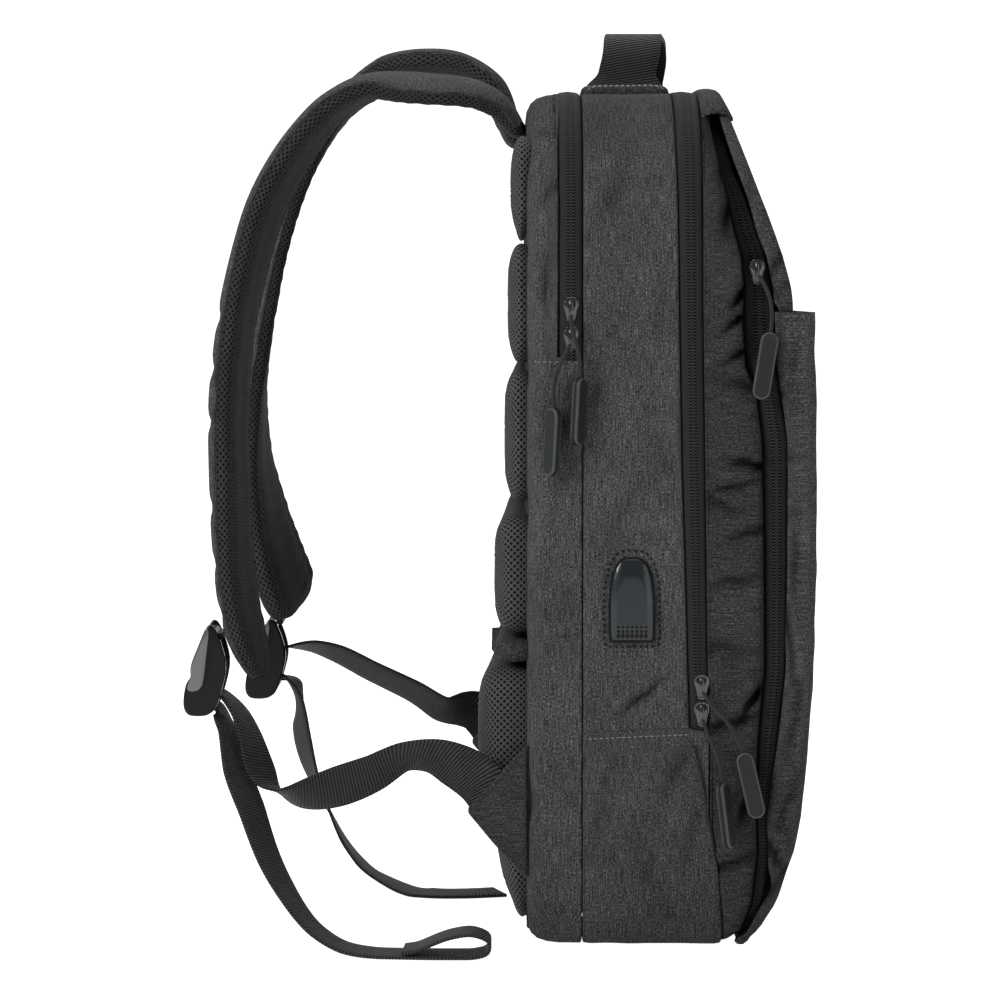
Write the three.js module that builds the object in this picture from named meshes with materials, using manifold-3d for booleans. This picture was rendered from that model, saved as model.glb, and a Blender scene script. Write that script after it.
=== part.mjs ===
// Laptop backpack, standing on its base. Millimetres, +Z up.
// +X is the front of the bag, -Y its near side with the port pod, and the origin is on the
// base, under the middle of the main compartment's width.
import * as THREE from 'three';
import { mergeVertices } from 'three/addons/utils/BufferGeometryUtils.js';
import Module from 'manifold-3d';

// Body
const BODY_WIDTH = 300;
const BODY_HEIGHT = 450;
const TOP_RADIUS = 62;
const BASE_RADIUS = 12;
const CROWN = 11;
const BACK_FACE = -49.5;
const REAR_DEPTH = 29.8;
const MAIN_DEPTH = 55;
const TAPE_WIDTH = 13;
const FRONT_DEPTH = 58;
const PADDED_WALL = 5;
const CLOTH_WALL = 3;
const SEAM_TUCK = 2.2;
const GAP = 0.3;
// Zips
const TAPE_THICK = 1.6;
const TAPE_SUNK = 1.4;
const REAR_ZIP_END = 315;
const MAIN_ZIP_END = 115;
const TAPE_NARROW = 6;
const FRONT_ZIP_SUNK = 6;
// Front pocket, flap and side pockets
const POCKET_TOP = 345;
const FLAP_TUCK = 34;
const FLAP_CLEAR = 4.5;
const LIP = 7;
const SIDE_POCKET_TOP = 111;
const SIDE_POCKET_WALL = 2;
// Back pads
const PAD_MARGIN = 14;
const PAD_CORNER = 16;
const PAD_NOTCH = 5;
// Handle
const HANDLE_WIDTH = 32;
const HANDLE_SPREAD = 108;
const HANDLE_RISE = 34;
const HANDLE_THICK = 3;
// Shoulder straps and webbing
const STRAP_REACH = 163;
const STRAP_WIDTH = 62;
const STRAP_THICK = 13;
const WEB_WIDTH = 26;
const WEB_THICK = 1.6;
const LOCK_WIDTH = 34;
const LOCK_HEIGHT = 50;
const LOCK_DEPTH = 24;
const LOCK_PLATE = 3;
const TAB_THICK = 4;
const TAB_INSET = 6;
// Small hardware
const POD_WIDTH = 22;
const POD_HEIGHT = 44;
const POD_PROUD = 4;
const POD_Z = 164;
const SLIDER_LENGTH = 13;
const SLIDER_WIDTH = 8;
const SLIDER_PROUD = 3.6;
const CORD_WIDE = 2.2;
const TAB_LENGTH = 36;
const TAB_WIDTH = 9.5;
const PULL_THICK = 4.5;

const HALF = BODY_WIDTH / 2;
const MAIN_START = BACK_FACE + REAR_DEPTH;
const MAIN_END = MAIN_START + MAIN_DEPTH;
const FRONT_START = MAIN_END + TAPE_WIDTH;

// The side view of the front, from top to base. "up" is a share of BODY_HEIGHT, the others
// are shares of FRONT_DEPTH in front of FRONT_START: the edge of the gusset, the edge of the
// flap or pocket beyond the front zip, and the faces of the flap and of the pocket.
const FRONT_PROFILE = [
  { up: 1.00, gusset: -0.01, edge: 0.05, flap: 0.11, pocket: 0.94 },
  { up: 0.97, gusset: 0.01, edge: 0.12, flap: 0.22, pocket: 0.94 },
  { up: 0.93, gusset: 0.07, edge: 0.20, flap: 0.33, pocket: 0.94 },
  { up: 0.89, gusset: 0.14, edge: 0.32, flap: 0.45, pocket: 0.94 },
  { up: 0.85, gusset: 0.20, edge: 0.41, flap: 0.57, pocket: 0.94 },
  { up: 0.82, gusset: 0.27, edge: 0.50, flap: 0.66, pocket: 0.94 },
  { up: 0.78, gusset: 0.30, edge: 0.56, flap: 0.73, pocket: 0.94 },
  { up: 0.74, gusset: 0.29, edge: 0.58, flap: 0.75, pocket: 0.96 },
  { up: 0.69, gusset: 0.32, edge: 0.60, flap: 0.75, pocket: 0.97 },
  { up: 0.66, gusset: 0.41, edge: 0.63, flap: 0.75, pocket: 0.98 },
  { up: 0.60, gusset: 0.47, edge: 0.71, flap: 0.75, pocket: 0.99 },
  { up: 0.47, gusset: 0.49, edge: 0.71, flap: 0.75, pocket: 0.99 },
  { up: 0.33, gusset: 0.50, edge: 0.70, flap: 0.75, pocket: 0.97 },
  { up: 0.24, gusset: 0.44, edge: 0.62, flap: 0.75, pocket: 0.92 },
  { up: 0.15, gusset: 0.43, edge: 0.53, flap: 0.75, pocket: 0.86 },
  { up: 0.11, gusset: 0.44, edge: 0.55, flap: 0.75, pocket: 0.80 },
  { up: 0.05, gusset: 0.39, edge: 0.48, flap: 0.75, pocket: 0.63 },
  { up: 0.02, gusset: 0.30, edge: 0.37, flap: 0.75, pocket: 0.47 },
  { up: 0.00, gusset: 0.17, edge: 0.25, flap: 0.75, pocket: 0.33 },
];

// Wrinkles of the gusset's sides: "up" and "tall" are shares of BODY_HEIGHT, "deep" of FRONT_DEPTH.
const WRINKLES = [
  { up: 0.83, tall: 0.030, deep: 0.05 },
  { up: 0.70, tall: 0.035, deep: 0.08 },
  { up: 0.55, tall: 0.030, deep: 0.06 },
  { up: 0.35, tall: 0.030, deep: 0.04 },
  { up: 0.17, tall: 0.040, deep: 0.05 },
];

// Back pads, top to bottom. "top" and "low" are shares of BODY_HEIGHT, "thick" of REAR_DEPTH.
const BACK_PADS = [
  { name: 'back_pad_1', top: 0.962, low: 0.845, thick: 0.20, taper: 0 },
  { name: 'back_pad_2', top: 0.834, low: 0.692, thick: 0.25, taper: 0 },
  { name: 'back_pad_3', top: 0.684, low: 0.526, thick: 0.31, taper: 0 },
  { name: 'back_pad_4', top: 0.510, low: 0.367, thick: 0.50, taper: 0 },
  { name: 'lumbar_band', top: 0.362, low: 0.335, thick: 0.62, taper: 0 },
  { name: 'back_pad_5', top: 0.329, low: 0.178, thick: 0.80, taper: 0 },
  { name: 'back_pad_6', top: 0.168, low: 0.024, thick: 0.62, taper: 0.7 },
];

// Shoulder straps: "out" is a share of STRAP_REACH behind BACK_FACE, "up" of BODY_HEIGHT,
// "side" of half the width, and "turn" the strap's roll about its own line, in degrees.
const NEAR_STRAP = [
  { out: 0.006, up: 0.978, side: -0.40, turn: 0, wide: 0.8, thick: 0.7 },
  { out: 0.036, up: 0.979, side: -0.40, turn: -1, wide: 0.85, thick: 0.75 },
  { out: 0.088, up: 1.004, side: -0.41, turn: -4, wide: 0.9, thick: 0.9 },
  { out: 0.184, up: 1.021, side: -0.43, turn: -7, wide: 1, thick: 1 },
  { out: 0.320, up: 1.026, side: -0.47, turn: -9, wide: 1, thick: 1 },
  { out: 0.452, up: 1.028, side: -0.50, turn: -9, wide: 1, thick: 1 },
  { out: 0.553, up: 1.025, side: -0.53, turn: -4, wide: 1, thick: 1 },
  { out: 0.635, up: 1.006, side: -0.55, turn: 2, wide: 1, thick: 1 },
  { out: 0.707, up: 0.980, side: -0.57, turn: 6, wide: 1, thick: 1 },
  { out: 0.795, up: 0.937, side: -0.59, turn: 8, wide: 1, thick: 1 },
  { out: 0.868, up: 0.886, side: -0.61, turn: 9, wide: 1, thick: 1 },
  { out: 0.912, up: 0.840, side: -0.63, turn: 9, wide: 1, thick: 1 },
  { out: 0.949, up: 0.786, side: -0.65, turn: 8, wide: 1, thick: 1.05 },
  { out: 0.975, up: 0.735, side: -0.67, turn: 7, wide: 1, thick: 1.05 },
  { out: 0.992, up: 0.672, side: -0.69, turn: 7, wide: 1, thick: 1.1 },
  { out: 0.998, up: 0.610, side: -0.71, turn: 7, wide: 1, thick: 1.1 },
  { out: 0.992, up: 0.545, side: -0.74, turn: 8, wide: 0.98, thick: 1.1 },
  { out: 0.985, up: 0.480, side: -0.76, turn: 9, wide: 0.93, thick: 1.05 },
  { out: 0.965, up: 0.413, side: -0.79, turn: 11, wide: 0.86, thick: 1 },
  { out: 0.937, up: 0.366, side: -0.80, turn: 12, wide: 0.76, thick: 0.95 },
  { out: 0.908, up: 0.335, side: -0.81, turn: 12, wide: 0.60, thick: 0.8 },
];
const FAR_STRAP = [
  { out: 0.006, up: 0.976, side: 0.40, turn: 0, wide: 0.8, thick: 0.7 },
  { out: 0.036, up: 0.978, side: 0.40, turn: 1, wide: 0.85, thick: 0.75 },
  { out: 0.066, up: 1.006, side: 0.40, turn: 3, wide: 0.9, thick: 0.9 },
  { out: 0.110, up: 1.040, side: 0.41, turn: 5, wide: 1, thick: 1 },
  { out: 0.209, up: 1.064, side: 0.43, turn: 8, wide: 1, thick: 1 },
  { out: 0.323, up: 1.072, side: 0.45, turn: 9, wide: 1, thick: 1 },
  { out: 0.480, up: 1.066, side: 0.50, turn: 9, wide: 1, thick: 1 },
  { out: 0.607, up: 1.038, side: 0.53, turn: 4, wide: 1, thick: 1 },
  { out: 0.698, up: 1.004, side: 0.56, turn: -2, wide: 1, thick: 1 },
  { out: 0.802, up: 0.946, side: 0.59, turn: -6, wide: 1, thick: 1 },
  { out: 0.872, up: 0.889, side: 0.61, turn: -8, wide: 1, thick: 1 },
  { out: 0.920, up: 0.831, side: 0.63, turn: -8, wide: 1, thick: 1 },
  { out: 0.952, up: 0.776, side: 0.65, turn: -7, wide: 1, thick: 1.05 },
  { out: 0.986, up: 0.695, side: 0.67, turn: -4, wide: 1, thick: 1.1 },
  { out: 1.005, up: 0.625, side: 0.70, turn: 0, wide: 1, thick: 1.1 },
  { out: 1.003, up: 0.554, side: 0.73, turn: 6, wide: 0.98, thick: 1.1 },
  { out: 0.978, up: 0.487, side: 0.75, turn: 12, wide: 0.93, thick: 1.05 },
  { out: 0.933, up: 0.420, side: 0.77, turn: 18, wide: 0.84, thick: 1 },
  { out: 0.893, up: 0.380, side: 0.79, turn: 22, wide: 0.74, thick: 0.95 },
  { out: 0.868, up: 0.356, side: 0.81, turn: 24, wide: 0.58, thick: 0.8 },
];

// Webbing, with the same columns: the straps from the stitched tabs up to the locks, and
// the loose tails from the locks down to the floor.
const NEAR_WEBBING = [
  { out: 0.142, up: 0.190, side: -0.960, turn: 90 },
  { out: 0.189, up: 0.205, side: -0.960, turn: 84 },
  { out: 0.245, up: 0.217, side: -0.973, turn: 70 },
  { out: 0.317, up: 0.226, side: -0.970, turn: 50 },
  { out: 0.410, up: 0.224, side: -0.967, turn: 42 },
  { out: 0.500, up: 0.206, side: -0.960, turn: 54 },
  { out: 0.614, up: 0.189, side: -0.947, turn: 62 },
  { out: 0.736, up: 0.177, side: -0.933, turn: 42 },
  { out: 0.820, up: 0.181, side: -0.920, turn: 8 },
  { out: 0.874, up: 0.203, side: -0.900, turn: -26 },
  { out: 0.906, up: 0.238, side: -0.880, turn: -22 },
  { out: 0.942, up: 0.270, side: -0.860, turn: -12 },
  { out: 0.985, up: 0.289, side: -0.832, turn: -3 },
  { out: 1.030, up: 0.300, side: -0.830, turn: 0 },
  { out: 1.062, up: 0.303, side: -0.830, turn: 0 },
];
const FAR_WEBBING = [
  { out: 0.142, up: 0.190, side: 0.960, turn: 90 },
  { out: 0.189, up: 0.203, side: 0.960, turn: 76 },
  { out: 0.245, up: 0.206, side: 0.945, turn: 56 },
  { out: 0.314, up: 0.209, side: 0.915, turn: 42 },
  { out: 0.408, up: 0.231, side: 0.890, turn: 36 },
  { out: 0.576, up: 0.262, side: 0.860, turn: 33 },
  { out: 0.688, up: 0.284, side: 0.840, turn: 30 },
  { out: 0.790, up: 0.296, side: 0.825, turn: 20 },
  { out: 0.880, up: 0.296, side: 0.815, turn: 6 },
];
const NEAR_TAIL = [
  { out: 1.062, up: 0.288, side: -0.830, turn: 0 },
  { out: 1.020, up: 0.279, side: -0.830, turn: 2 },
  { out: 1.000, up: 0.265, side: -0.840, turn: 8 },
  { out: 0.975, up: 0.246, side: -0.885, turn: 20 },
  { out: 0.950, up: 0.207, side: -0.960, turn: 24 },
  { out: 0.900, up: 0.164, side: -1.020, turn: 24 },
  { out: 0.850, up: 0.116, side: -1.065, turn: 20 },
  { out: 0.788, up: 0.074, side: -1.100, turn: 14 },
  { out: 0.701, up: 0.033, side: -1.140, turn: 7 },
  { out: 0.590, up: 0.009, side: -1.173, turn: 2 },
  { out: 0.460, up: 0.003, side: -1.187, turn: 0 },
  { out: 0.372, up: 0.003, side: -1.197, turn: 0 },
  { out: 0.280, up: 0.003, side: -1.203, turn: 0 },
  { out: 0.190, up: 0.003, side: -1.203, turn: 0 },
  { out: 0.130, up: 0.008, side: -1.203, turn: 0 },
  { out: 0.125, up: 0.022, side: -1.203, turn: 0 },
  { out: 0.185, up: 0.030, side: -1.203, turn: 0 },
  { out: 0.270, up: 0.024, side: -1.203, turn: 0 },
  { out: 0.350, up: 0.012, side: -1.200, turn: 0 },
  { out: 0.400, up: 0.009, side: -1.197, turn: 0 },
];
const FAR_TAIL = [
  { out: 0.946, up: 0.262, side: 0.810, turn: 0 },
  { out: 0.905, up: 0.254, side: 0.810, turn: 0 },
  { out: 0.872, up: 0.250, side: 0.796, turn: 4 },
  { out: 0.852, up: 0.236, side: 0.750, turn: 4 },
  { out: 0.838, up: 0.215, side: 0.680, turn: -20 },
  { out: 0.820, up: 0.183, side: 0.620, turn: -26 },
  { out: 0.794, up: 0.152, side: 0.573, turn: -24 },
  { out: 0.749, up: 0.115, side: 0.507, turn: -14 },
  { out: 0.698, up: 0.082, side: 0.433, turn: -6 },
  { out: 0.640, up: 0.050, side: 0.347, turn: -2 },
  { out: 0.560, up: 0.024, side: 0.240, turn: -2 },
  { out: 0.452, up: 0.008, side: 0.127, turn: 0 },
  { out: 0.372, up: 0.003, side: 0.060, turn: 0 },
  { out: 0.282, up: 0.003, side: 0.030, turn: 0 },
  { out: 0.177, up: 0.003, side: 0.040, turn: 0 },
  { out: 0.088, up: 0.003, side: 0.067, turn: 0 },
];

const lerp = THREE.MathUtils.lerp;
const clamp = THREE.MathUtils.clamp;
const smooth = (t) => t * t * (3 - 2 * t);

// A column of FRONT_PROFILE at a height, as an X coordinate
function frontX(column, z) {
  const up = clamp(z / BODY_HEIGHT, 0, 1);
  let row = 1;
  while (row < FRONT_PROFILE.length - 1 && FRONT_PROFILE[row].up > up) row += 1;
  const above = FRONT_PROFILE[row - 1];
  const below = FRONT_PROFILE[row];
  const share = clamp((above.up - up) / (above.up - below.up), 0, 1);
  return FRONT_START + FRONT_DEPTH * lerp(above[column], below[column], share);
}

// The crown: everything above the top corners' start rises towards the middle
function crowned(x, y, z) {
  const share = clamp((z - (BODY_HEIGHT - TOP_RADIUS)) / TOP_RADIUS, 0, 1);
  const middle = 1 - (y / HALF) ** 2;
  return new THREE.Vector3(x, y, z + CROWN * smooth(share) * middle);
}

// The closed outline of the body seen from the front, from the middle of the base round the
// near side, with each point's inward direction
function outline() {
  const points = [];
  const baseFlat = HALF - BASE_RADIUS;
  const topFlat = HALF - TOP_RADIUS;
  const sideLow = BASE_RADIUS;
  const sideHigh = BODY_HEIGHT - TOP_RADIUS;
  const stops = [SIDE_POCKET_TOP - 1, SIDE_POCKET_TOP + 1, REAR_ZIP_END - 1, REAR_ZIP_END + 1];
  stops.push(MAIN_ZIP_END - 1, MAIN_ZIP_END + 1);
  const steps = 13;
  const plain = [];
  for (let i = 0; i <= steps; i += 1) plain.push(lerp(sideLow, sideHigh, i / steps));
  const clear = plain.filter((z) => stops.every((stop) => Math.abs(z - stop) > 6));
  const sides = [sideLow, ...clear.filter((z) => z > sideLow && z < sideHigh), ...stops, sideHigh];
  sides.sort((a, b) => a - b);
  const arc = (cy, cz, radius, from, to, count) => {
    for (let i = 1; i < count; i += 1) {
      const turn = lerp(from, to, i / count);
      const away = { y: Math.cos(turn), z: Math.sin(turn) };
      points.push({ y: cy + radius * away.y, z: cz + radius * away.z, ny: -away.y, nz: -away.z });
    }
  };
  for (const share of [0, 0.5, 1]) points.push({ y: -baseFlat * share, z: 0, ny: 0, nz: 1 });
  arc(-baseFlat, BASE_RADIUS, BASE_RADIUS, -Math.PI / 2, -Math.PI, 3);
  for (const z of sides) points.push({ y: -HALF, z, ny: 1, nz: 0 });
  arc(-topFlat, sideHigh, TOP_RADIUS, Math.PI, Math.PI / 2, 5);
  for (const share of [1, 0.6, 0.2]) points.push({ y: -topFlat * share, z: BODY_HEIGHT, ny: 0, nz: -1 });
  const far = points.slice(1).reverse();
  for (const p of far) points.push({ y: -p.y, z: p.z, ny: -p.ny, nz: p.nz });
  return points;
}

const OUTLINE = outline();
const MIDDLE_Z = BODY_HEIGHT / 2;
const value = (given, p) => (typeof given === 'function' ? given(p) : given);

// One ring of the outline: x and inset are numbers or functions of the outline's point, and
// shrink draws the ring together towards the middle of the face
function ring(x, inset, shrink = 1, part = OUTLINE) {
  return part.map((p) => {
    const deep = value(inset, p);
    const y = (p.y + p.ny * deep) * shrink;
    const z = MIDDLE_Z + (p.z + p.nz * deep - MIDDLE_Z) * shrink;
    return crowned(value(x, { ...p, y, z }), y, z);
  });
}

// A closed body from quads and triangles, with its faces turned out
function body(points, faces) {
  const flat = points.flatMap((p) => [p.x, p.y, p.z]);
  let volume = 0;
  for (const [a, b, c] of faces) {
    volume += points[a].dot(new THREE.Vector3().crossVectors(points[b], points[c]));
  }
  const index = faces.flatMap(([a, b, c]) => (volume > 0 ? [a, b, c] : [a, c, b]));
  const geometry = new THREE.BufferGeometry();
  geometry.setAttribute('position', new THREE.Float32BufferAttribute(flat, 3));
  geometry.setIndex(index);
  return geometry;
}

function addQuad(faces, a, b, c, d) {
  faces.push([a, b, c], [a, c, d]);
}

// A cloth wall between two grids of points. A loop's rows are closed, and a sealed wall
// ends in a face on both sides of the cloth at its last row.
function wall(outer, inner, { loop = true, sealed = false } = {}) {
  const points = [];
  const faces = [];
  const rows = outer.length;
  const count = outer[0].length;
  const at = (side, row, i) => side * rows * count + row * count + (i % count);
  for (const grid of [outer, inner]) for (const row of grid) points.push(...row);
  const last = loop ? count : count - 1;
  for (let row = 0; row + 1 < rows; row += 1) {
    for (let i = 0; i < last; i += 1) {
      addQuad(faces, at(0, row, i), at(0, row, i + 1), at(0, row + 1, i + 1), at(0, row + 1, i));
      addQuad(faces, at(1, row, i), at(1, row + 1, i), at(1, row + 1, i + 1), at(1, row, i + 1));
    }
    if (!loop) {
      addQuad(faces, at(0, row, 0), at(0, row + 1, 0), at(1, row + 1, 0), at(1, row, 0));
      addQuad(faces, at(0, row, last), at(1, row, last), at(1, row + 1, last), at(0, row + 1, last));
    }
  }
  const end = rows - 1;
  for (let i = 0; i < last; i += 1) {
    addQuad(faces, at(0, 0, i), at(1, 0, i), at(1, 0, i + 1), at(0, 0, i + 1));
    if (!sealed) addQuad(faces, at(0, end, i), at(0, end, i + 1), at(1, end, i + 1), at(1, end, i));
  }
  if (sealed) {
    for (const side of [0, 1]) {
      const centre = new THREE.Vector3();
      for (let i = 0; i < count; i += 1) centre.addScaledVector(points[at(side, end, i)], 1 / count);
      points.push(centre);
      for (let i = 0; i < count; i += 1) {
        const pair = [at(side, end, i), at(side, end, i + 1)];
        faces.push(side === 0 ? [pair[0], pair[1], points.length - 1] : [pair[1], pair[0], points.length - 1]);
      }
    }
  }
  return body(points, faces);
}

// A solid through closed sections, with flat ends
function loft(sections) {
  const points = sections.flat();
  const count = sections[0].length;
  const faces = [];
  for (let row = 0; row + 1 < sections.length; row += 1) {
    for (let i = 0; i < count; i += 1) {
      const next = (i + 1) % count;
      addQuad(faces, row * count + i, row * count + next, (row + 1) * count + next, (row + 1) * count + i);
    }
  }
  const ends = [sections[0], sections[sections.length - 1]];
  ends.forEach((section, end) => {
    const centre = new THREE.Vector3();
    for (const p of section) centre.addScaledVector(p, 1 / count);
    points.push(centre);
    const start = end === 0 ? 0 : (sections.length - 1) * count;
    for (let i = 0; i < count; i += 1) {
      const pair = [start + i, start + ((i + 1) % count)];
      faces.push(end === 0 ? [pair[1], pair[0], points.length - 1] : [pair[0], pair[1], points.length - 1]);
    }
  });
  return body(points, faces);
}

// Shells of the body

const belowPocket = (p) => p.z < SIDE_POCKET_TOP && Math.abs(p.y) > HALF - BASE_RADIUS;
const pocketRecess = (p) => (belowPocket(p) ? SIDE_POCKET_WALL + GAP : 0);
const turnsUnder = (p) => belowPocket(p) && p.z < BASE_RADIUS;
const rearRim = (p) => (p.z > REAR_ZIP_END ? MAIN_START - TAPE_WIDTH - GAP : MAIN_START - GAP);

function rearCompartment() {
  const cut = 4;
  const outer = [
    ring(rearRim, SEAM_TUCK),
    ring((p) => rearRim(p) - cut, 0.4),
    ring(BACK_FACE + 9, 0.4),
    ring(BACK_FACE + 3.5, 1.8),
    ring(BACK_FACE + 0.8, 6),
    ring(BACK_FACE, 12),
  ];
  const inner = [
    ring(rearRim, SEAM_TUCK + PADDED_WALL),
    ring((p) => rearRim(p) - cut, 0.4 + PADDED_WALL),
    ring(BACK_FACE + 9, 0.4 + PADDED_WALL),
    ring(BACK_FACE + 6.5, 2 + PADDED_WALL),
    ring(BACK_FACE + PADDED_WALL + 0.4, 4.5 + PADDED_WALL),
    ring(BACK_FACE + PADDED_WALL, 14),
  ];
  return wall(outer, inner, { sealed: true });
}

// The zips' edges at a height: the main panel's, and the gusset's
function narrowed(z) {
  return TAPE_NARROW * (1 - clamp((z - MAIN_ZIP_END) / (BODY_HEIGHT * 0.6), 0, 1));
}
const mainRim = (p) => {
  if (p.z < MAIN_ZIP_END) return FRONT_START - GAP;
  return MAIN_END + narrowed(p.z);
};
const gussetRim = (p) => (p.z < MAIN_ZIP_END ? FRONT_START : FRONT_START - narrowed(p.z) * 0.3);

function mainCompartment() {
  const cut = 4;
  const start = MAIN_START;
  const flatEnd = MAIN_END - 8;
  const inset = (deep) => (p) => deep + pocketRecess(p);
  const outer = [
    ring(start, inset(SEAM_TUCK)),
    ring(start + cut, inset(0)),
    ring(flatEnd, inset(0)),
    ring((p) => mainRim(p) - cut, inset(0)),
    ring(mainRim, inset(SEAM_TUCK)),
  ];
  const inner = [
    ring(start, inset(SEAM_TUCK + PADDED_WALL)),
    ring(start + cut, inset(PADDED_WALL)),
    ring(flatEnd, inset(PADDED_WALL)),
    ring((p) => mainRim(p) - cut, inset(PADDED_WALL)),
    ring(mainRim, inset(SEAM_TUCK + PADDED_WALL)),
  ];
  return wall(outer, inner);
}

function wrinkle(p) {
  let deep = 0;
  for (const fold of WRINKLES) {
    const away = (p.z / BODY_HEIGHT - fold.up) / fold.tall;
    deep += FRONT_DEPTH * fold.deep * Math.exp(-away * away);
  }
  return deep;
}

// The near and far faces of a side pocket end along this edge, further forward lower down
function sidePocketEdge(z) {
  const share = clamp(z / SIDE_POCKET_TOP, 0, 1);
  return lerp(FRONT_START + FRONT_DEPTH * 0.11, MAIN_END + 3, share * share);
}

function frontCompartment() {
  const edge = (p) => frontX('gusset', p.z);
  const between = (share) => (p) => lerp(gussetRim(p), edge(p), share);
  const covered = (p) => (belowPocket(p) ? pocketRecess(p) + 0.4 : 0.6);
  const lower = (p) => (turnsUnder(p) ? covered(p) : 0.8 + covered(p) * 0.3);
  const sideOnly = (p) => Math.abs(p.ny) * wrinkle(p);
  const outer = [
    ring(gussetRim, (p) => SEAM_TUCK + pocketRecess(p)),
    ring(between(0.35), (p) => covered(p) + sideOnly(p) * 0.4),
    ring(between(0.68), (p) => lower(p) + sideOnly(p)),
    ring(between(0.93), (p) => 1.6 + sideOnly(p) * 0.7),
    ring(edge, 4.5),
    ring((p) => edge(p) + 1, 16),
    ring((p) => edge(p) + 2, 16, 0.55),
  ];
  const inner = [
    ring(gussetRim, (p) => SEAM_TUCK + pocketRecess(p) + CLOTH_WALL),
    ring(between(0.35), (p) => covered(p) + CLOTH_WALL + sideOnly(p) * 0.4),
    ring(between(0.6), (p) => lower(p) + CLOTH_WALL + sideOnly(p)),
    ring((p) => edge(p) - CLOTH_WALL - 1, (p) => 3.5 + CLOTH_WALL + sideOnly(p) * 0.7),
    ring((p) => edge(p) - CLOTH_WALL, 6 + CLOTH_WALL),
    ring((p) => edge(p) - CLOTH_WALL + 1, 17),
    ring((p) => edge(p) - CLOTH_WALL + 2, 17, 0.55),
  ];
  return wall(outer, inner, { sealed: true });
}

// A tape along the outline above a height, from the near side over the top to the far side
function arch(from, low, high, sunk, thick) {
  const part = OUTLINE.filter((p) => p.z > from);
  const a = ring(low, sunk, 1, part);
  const b = ring(high, sunk, 1, part);
  const c = ring(high, sunk + thick, 1, part);
  const d = ring(low, sunk + thick, 1, part);
  return loft(part.map((p, i) => [a[i], b[i], c[i], d[i]]));
}

function rearZipTape() {
  return arch(REAR_ZIP_END, MAIN_START - TAPE_WIDTH, MAIN_START - GAP, TAPE_SUNK, TAPE_THICK);
}

function mainZipTape() {
  const low = (p) => mainRim(p) + GAP;
  const high = (p) => gussetRim(p) - GAP;
  return arch(MAIN_ZIP_END, low, high, TAPE_SUNK, TAPE_THICK);
}

function frontZipTape() {
  const low = (p) => frontX('gusset', p.z) + 1.4;
  const high = (p) => frontX('edge', p.z) - 3 * GAP;
  return arch(BODY_HEIGHT * 0.1, low, high, FRONT_ZIP_SUNK, TAPE_THICK);
}

// The side pocket's panel lies over the side and turns under the base
function sidePocket(side) {
  const part = OUTLINE.filter((p) => belowPocket(p) && p.y < 0);
  const ends = (p) => sidePocketEdge(p.z);
  const columns = [MAIN_START + 1.2, MAIN_START + 4, MAIN_END - 8];
  const grid = (lift) => columns.map((x, i) => ring(x, (i === 0 ? SEAM_TUCK * 0.6 : 0) + lift, 1, part));
  const outer = [...grid(0), ring((p) => ends(p) - 2, 0, 1, part), ring(ends, 0.8, 1, part)];
  const inner = [...grid(SIDE_POCKET_WALL), ring((p) => ends(p) - 2, SIDE_POCKET_WALL, 1, part)];
  inner.push(ring(ends, SIDE_POCKET_WALL, 1, part));
  if (side > 0) for (const grids of [outer, inner]) for (const row of grids) for (const p of row) p.y = -p.y;
  return wall(outer, inner, { loop: false });
}

// Half the body's width at a height
function halfWidth(z) {
  const low = BASE_RADIUS - z;
  const high = z - (BODY_HEIGHT - TOP_RADIUS);
  if (low > 0) return HALF - BASE_RADIUS + Math.sqrt(Math.max(0, BASE_RADIUS ** 2 - low ** 2));
  if (high > 0) return HALF - TOP_RADIUS + Math.sqrt(Math.max(0, TOP_RADIUS ** 2 - high ** 2));
  return HALF;
}

// One level row of the flap or the pocket: round from the near lip, along the near side,
// across the face and back to the far lip. "behind" is what lies between it and the zip.
function frontRow(z, face, inset, thick, behind) {
  const wide = halfWidth(z) - inset - thick;
  const back = frontX('edge', z) + behind;
  const front = Math.max(face(z) - thick, back + 0.4);
  const round = Math.min(5, (front - back) * 0.6);
  const lip = Math.max(LIP - thick * 0.2, 2);
  const half = [
    [back + (thick > 0 ? 1.2 : 0), wide + inset + thick - Math.max(lip, inset + thick + 0.8)],
    [back + (thick > 0 ? 1.2 : 0), wide - 1],
    [lerp(back, front - round, 0.2) + thick * 0.4, wide],
    [front - round, wide],
    [front - round * 0.3, wide - round * 0.3],
    [front, wide - round],
    [front + 0.5, wide * 0.55],
  ];
  const near = half.map(([x, y]) => crowned(x, -y, z));
  const middle = crowned(front + 0.6, 0, z);
  const far = half.map(([x, y]) => crowned(x, y, z)).reverse();
  return [...near, middle, ...far];
}

function frontShell(levels, face, { inset, behind, lowest, highest }) {
  const row = (z, thick) => frontRow(z, face, inset(z), thick, behind(z));
  const outer = levels.map((z) => row(z, 0));
  const inner = levels.map((z) => row(clamp(z, lowest, highest), CLOTH_WALL - 0.5));
  return wall(outer, inner, { loop: false });
}

const levelsBetween = (low, high, steps) => (
  Array.from({ length: steps + 1 }, (_, i) => lerp(low, high, i / steps)));

// The flap hangs from the top and tucks into the pocket's mouth
function frontFlap() {
  const face = (z) => frontX('flap', z);
  const tucked = levelsBetween(POCKET_TOP - FLAP_TUCK, POCKET_TOP + 2, 3);
  const high = BODY_HEIGHT - CLOTH_WALL;
  const levels = [...tucked, ...levelsBetween(POCKET_TOP + 6, high, 7)];
  const isTucked = (z) => z < POCKET_TOP + 3;
  return frontShell(levels, face, {
    inset: (z) => (isTucked(z) ? FLAP_CLEAR : 1),
    behind: (z) => (isTucked(z) ? CLOTH_WALL + GAP : 0),
    lowest: 0,
    highest: high - CLOTH_WALL,
  });
}

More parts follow.
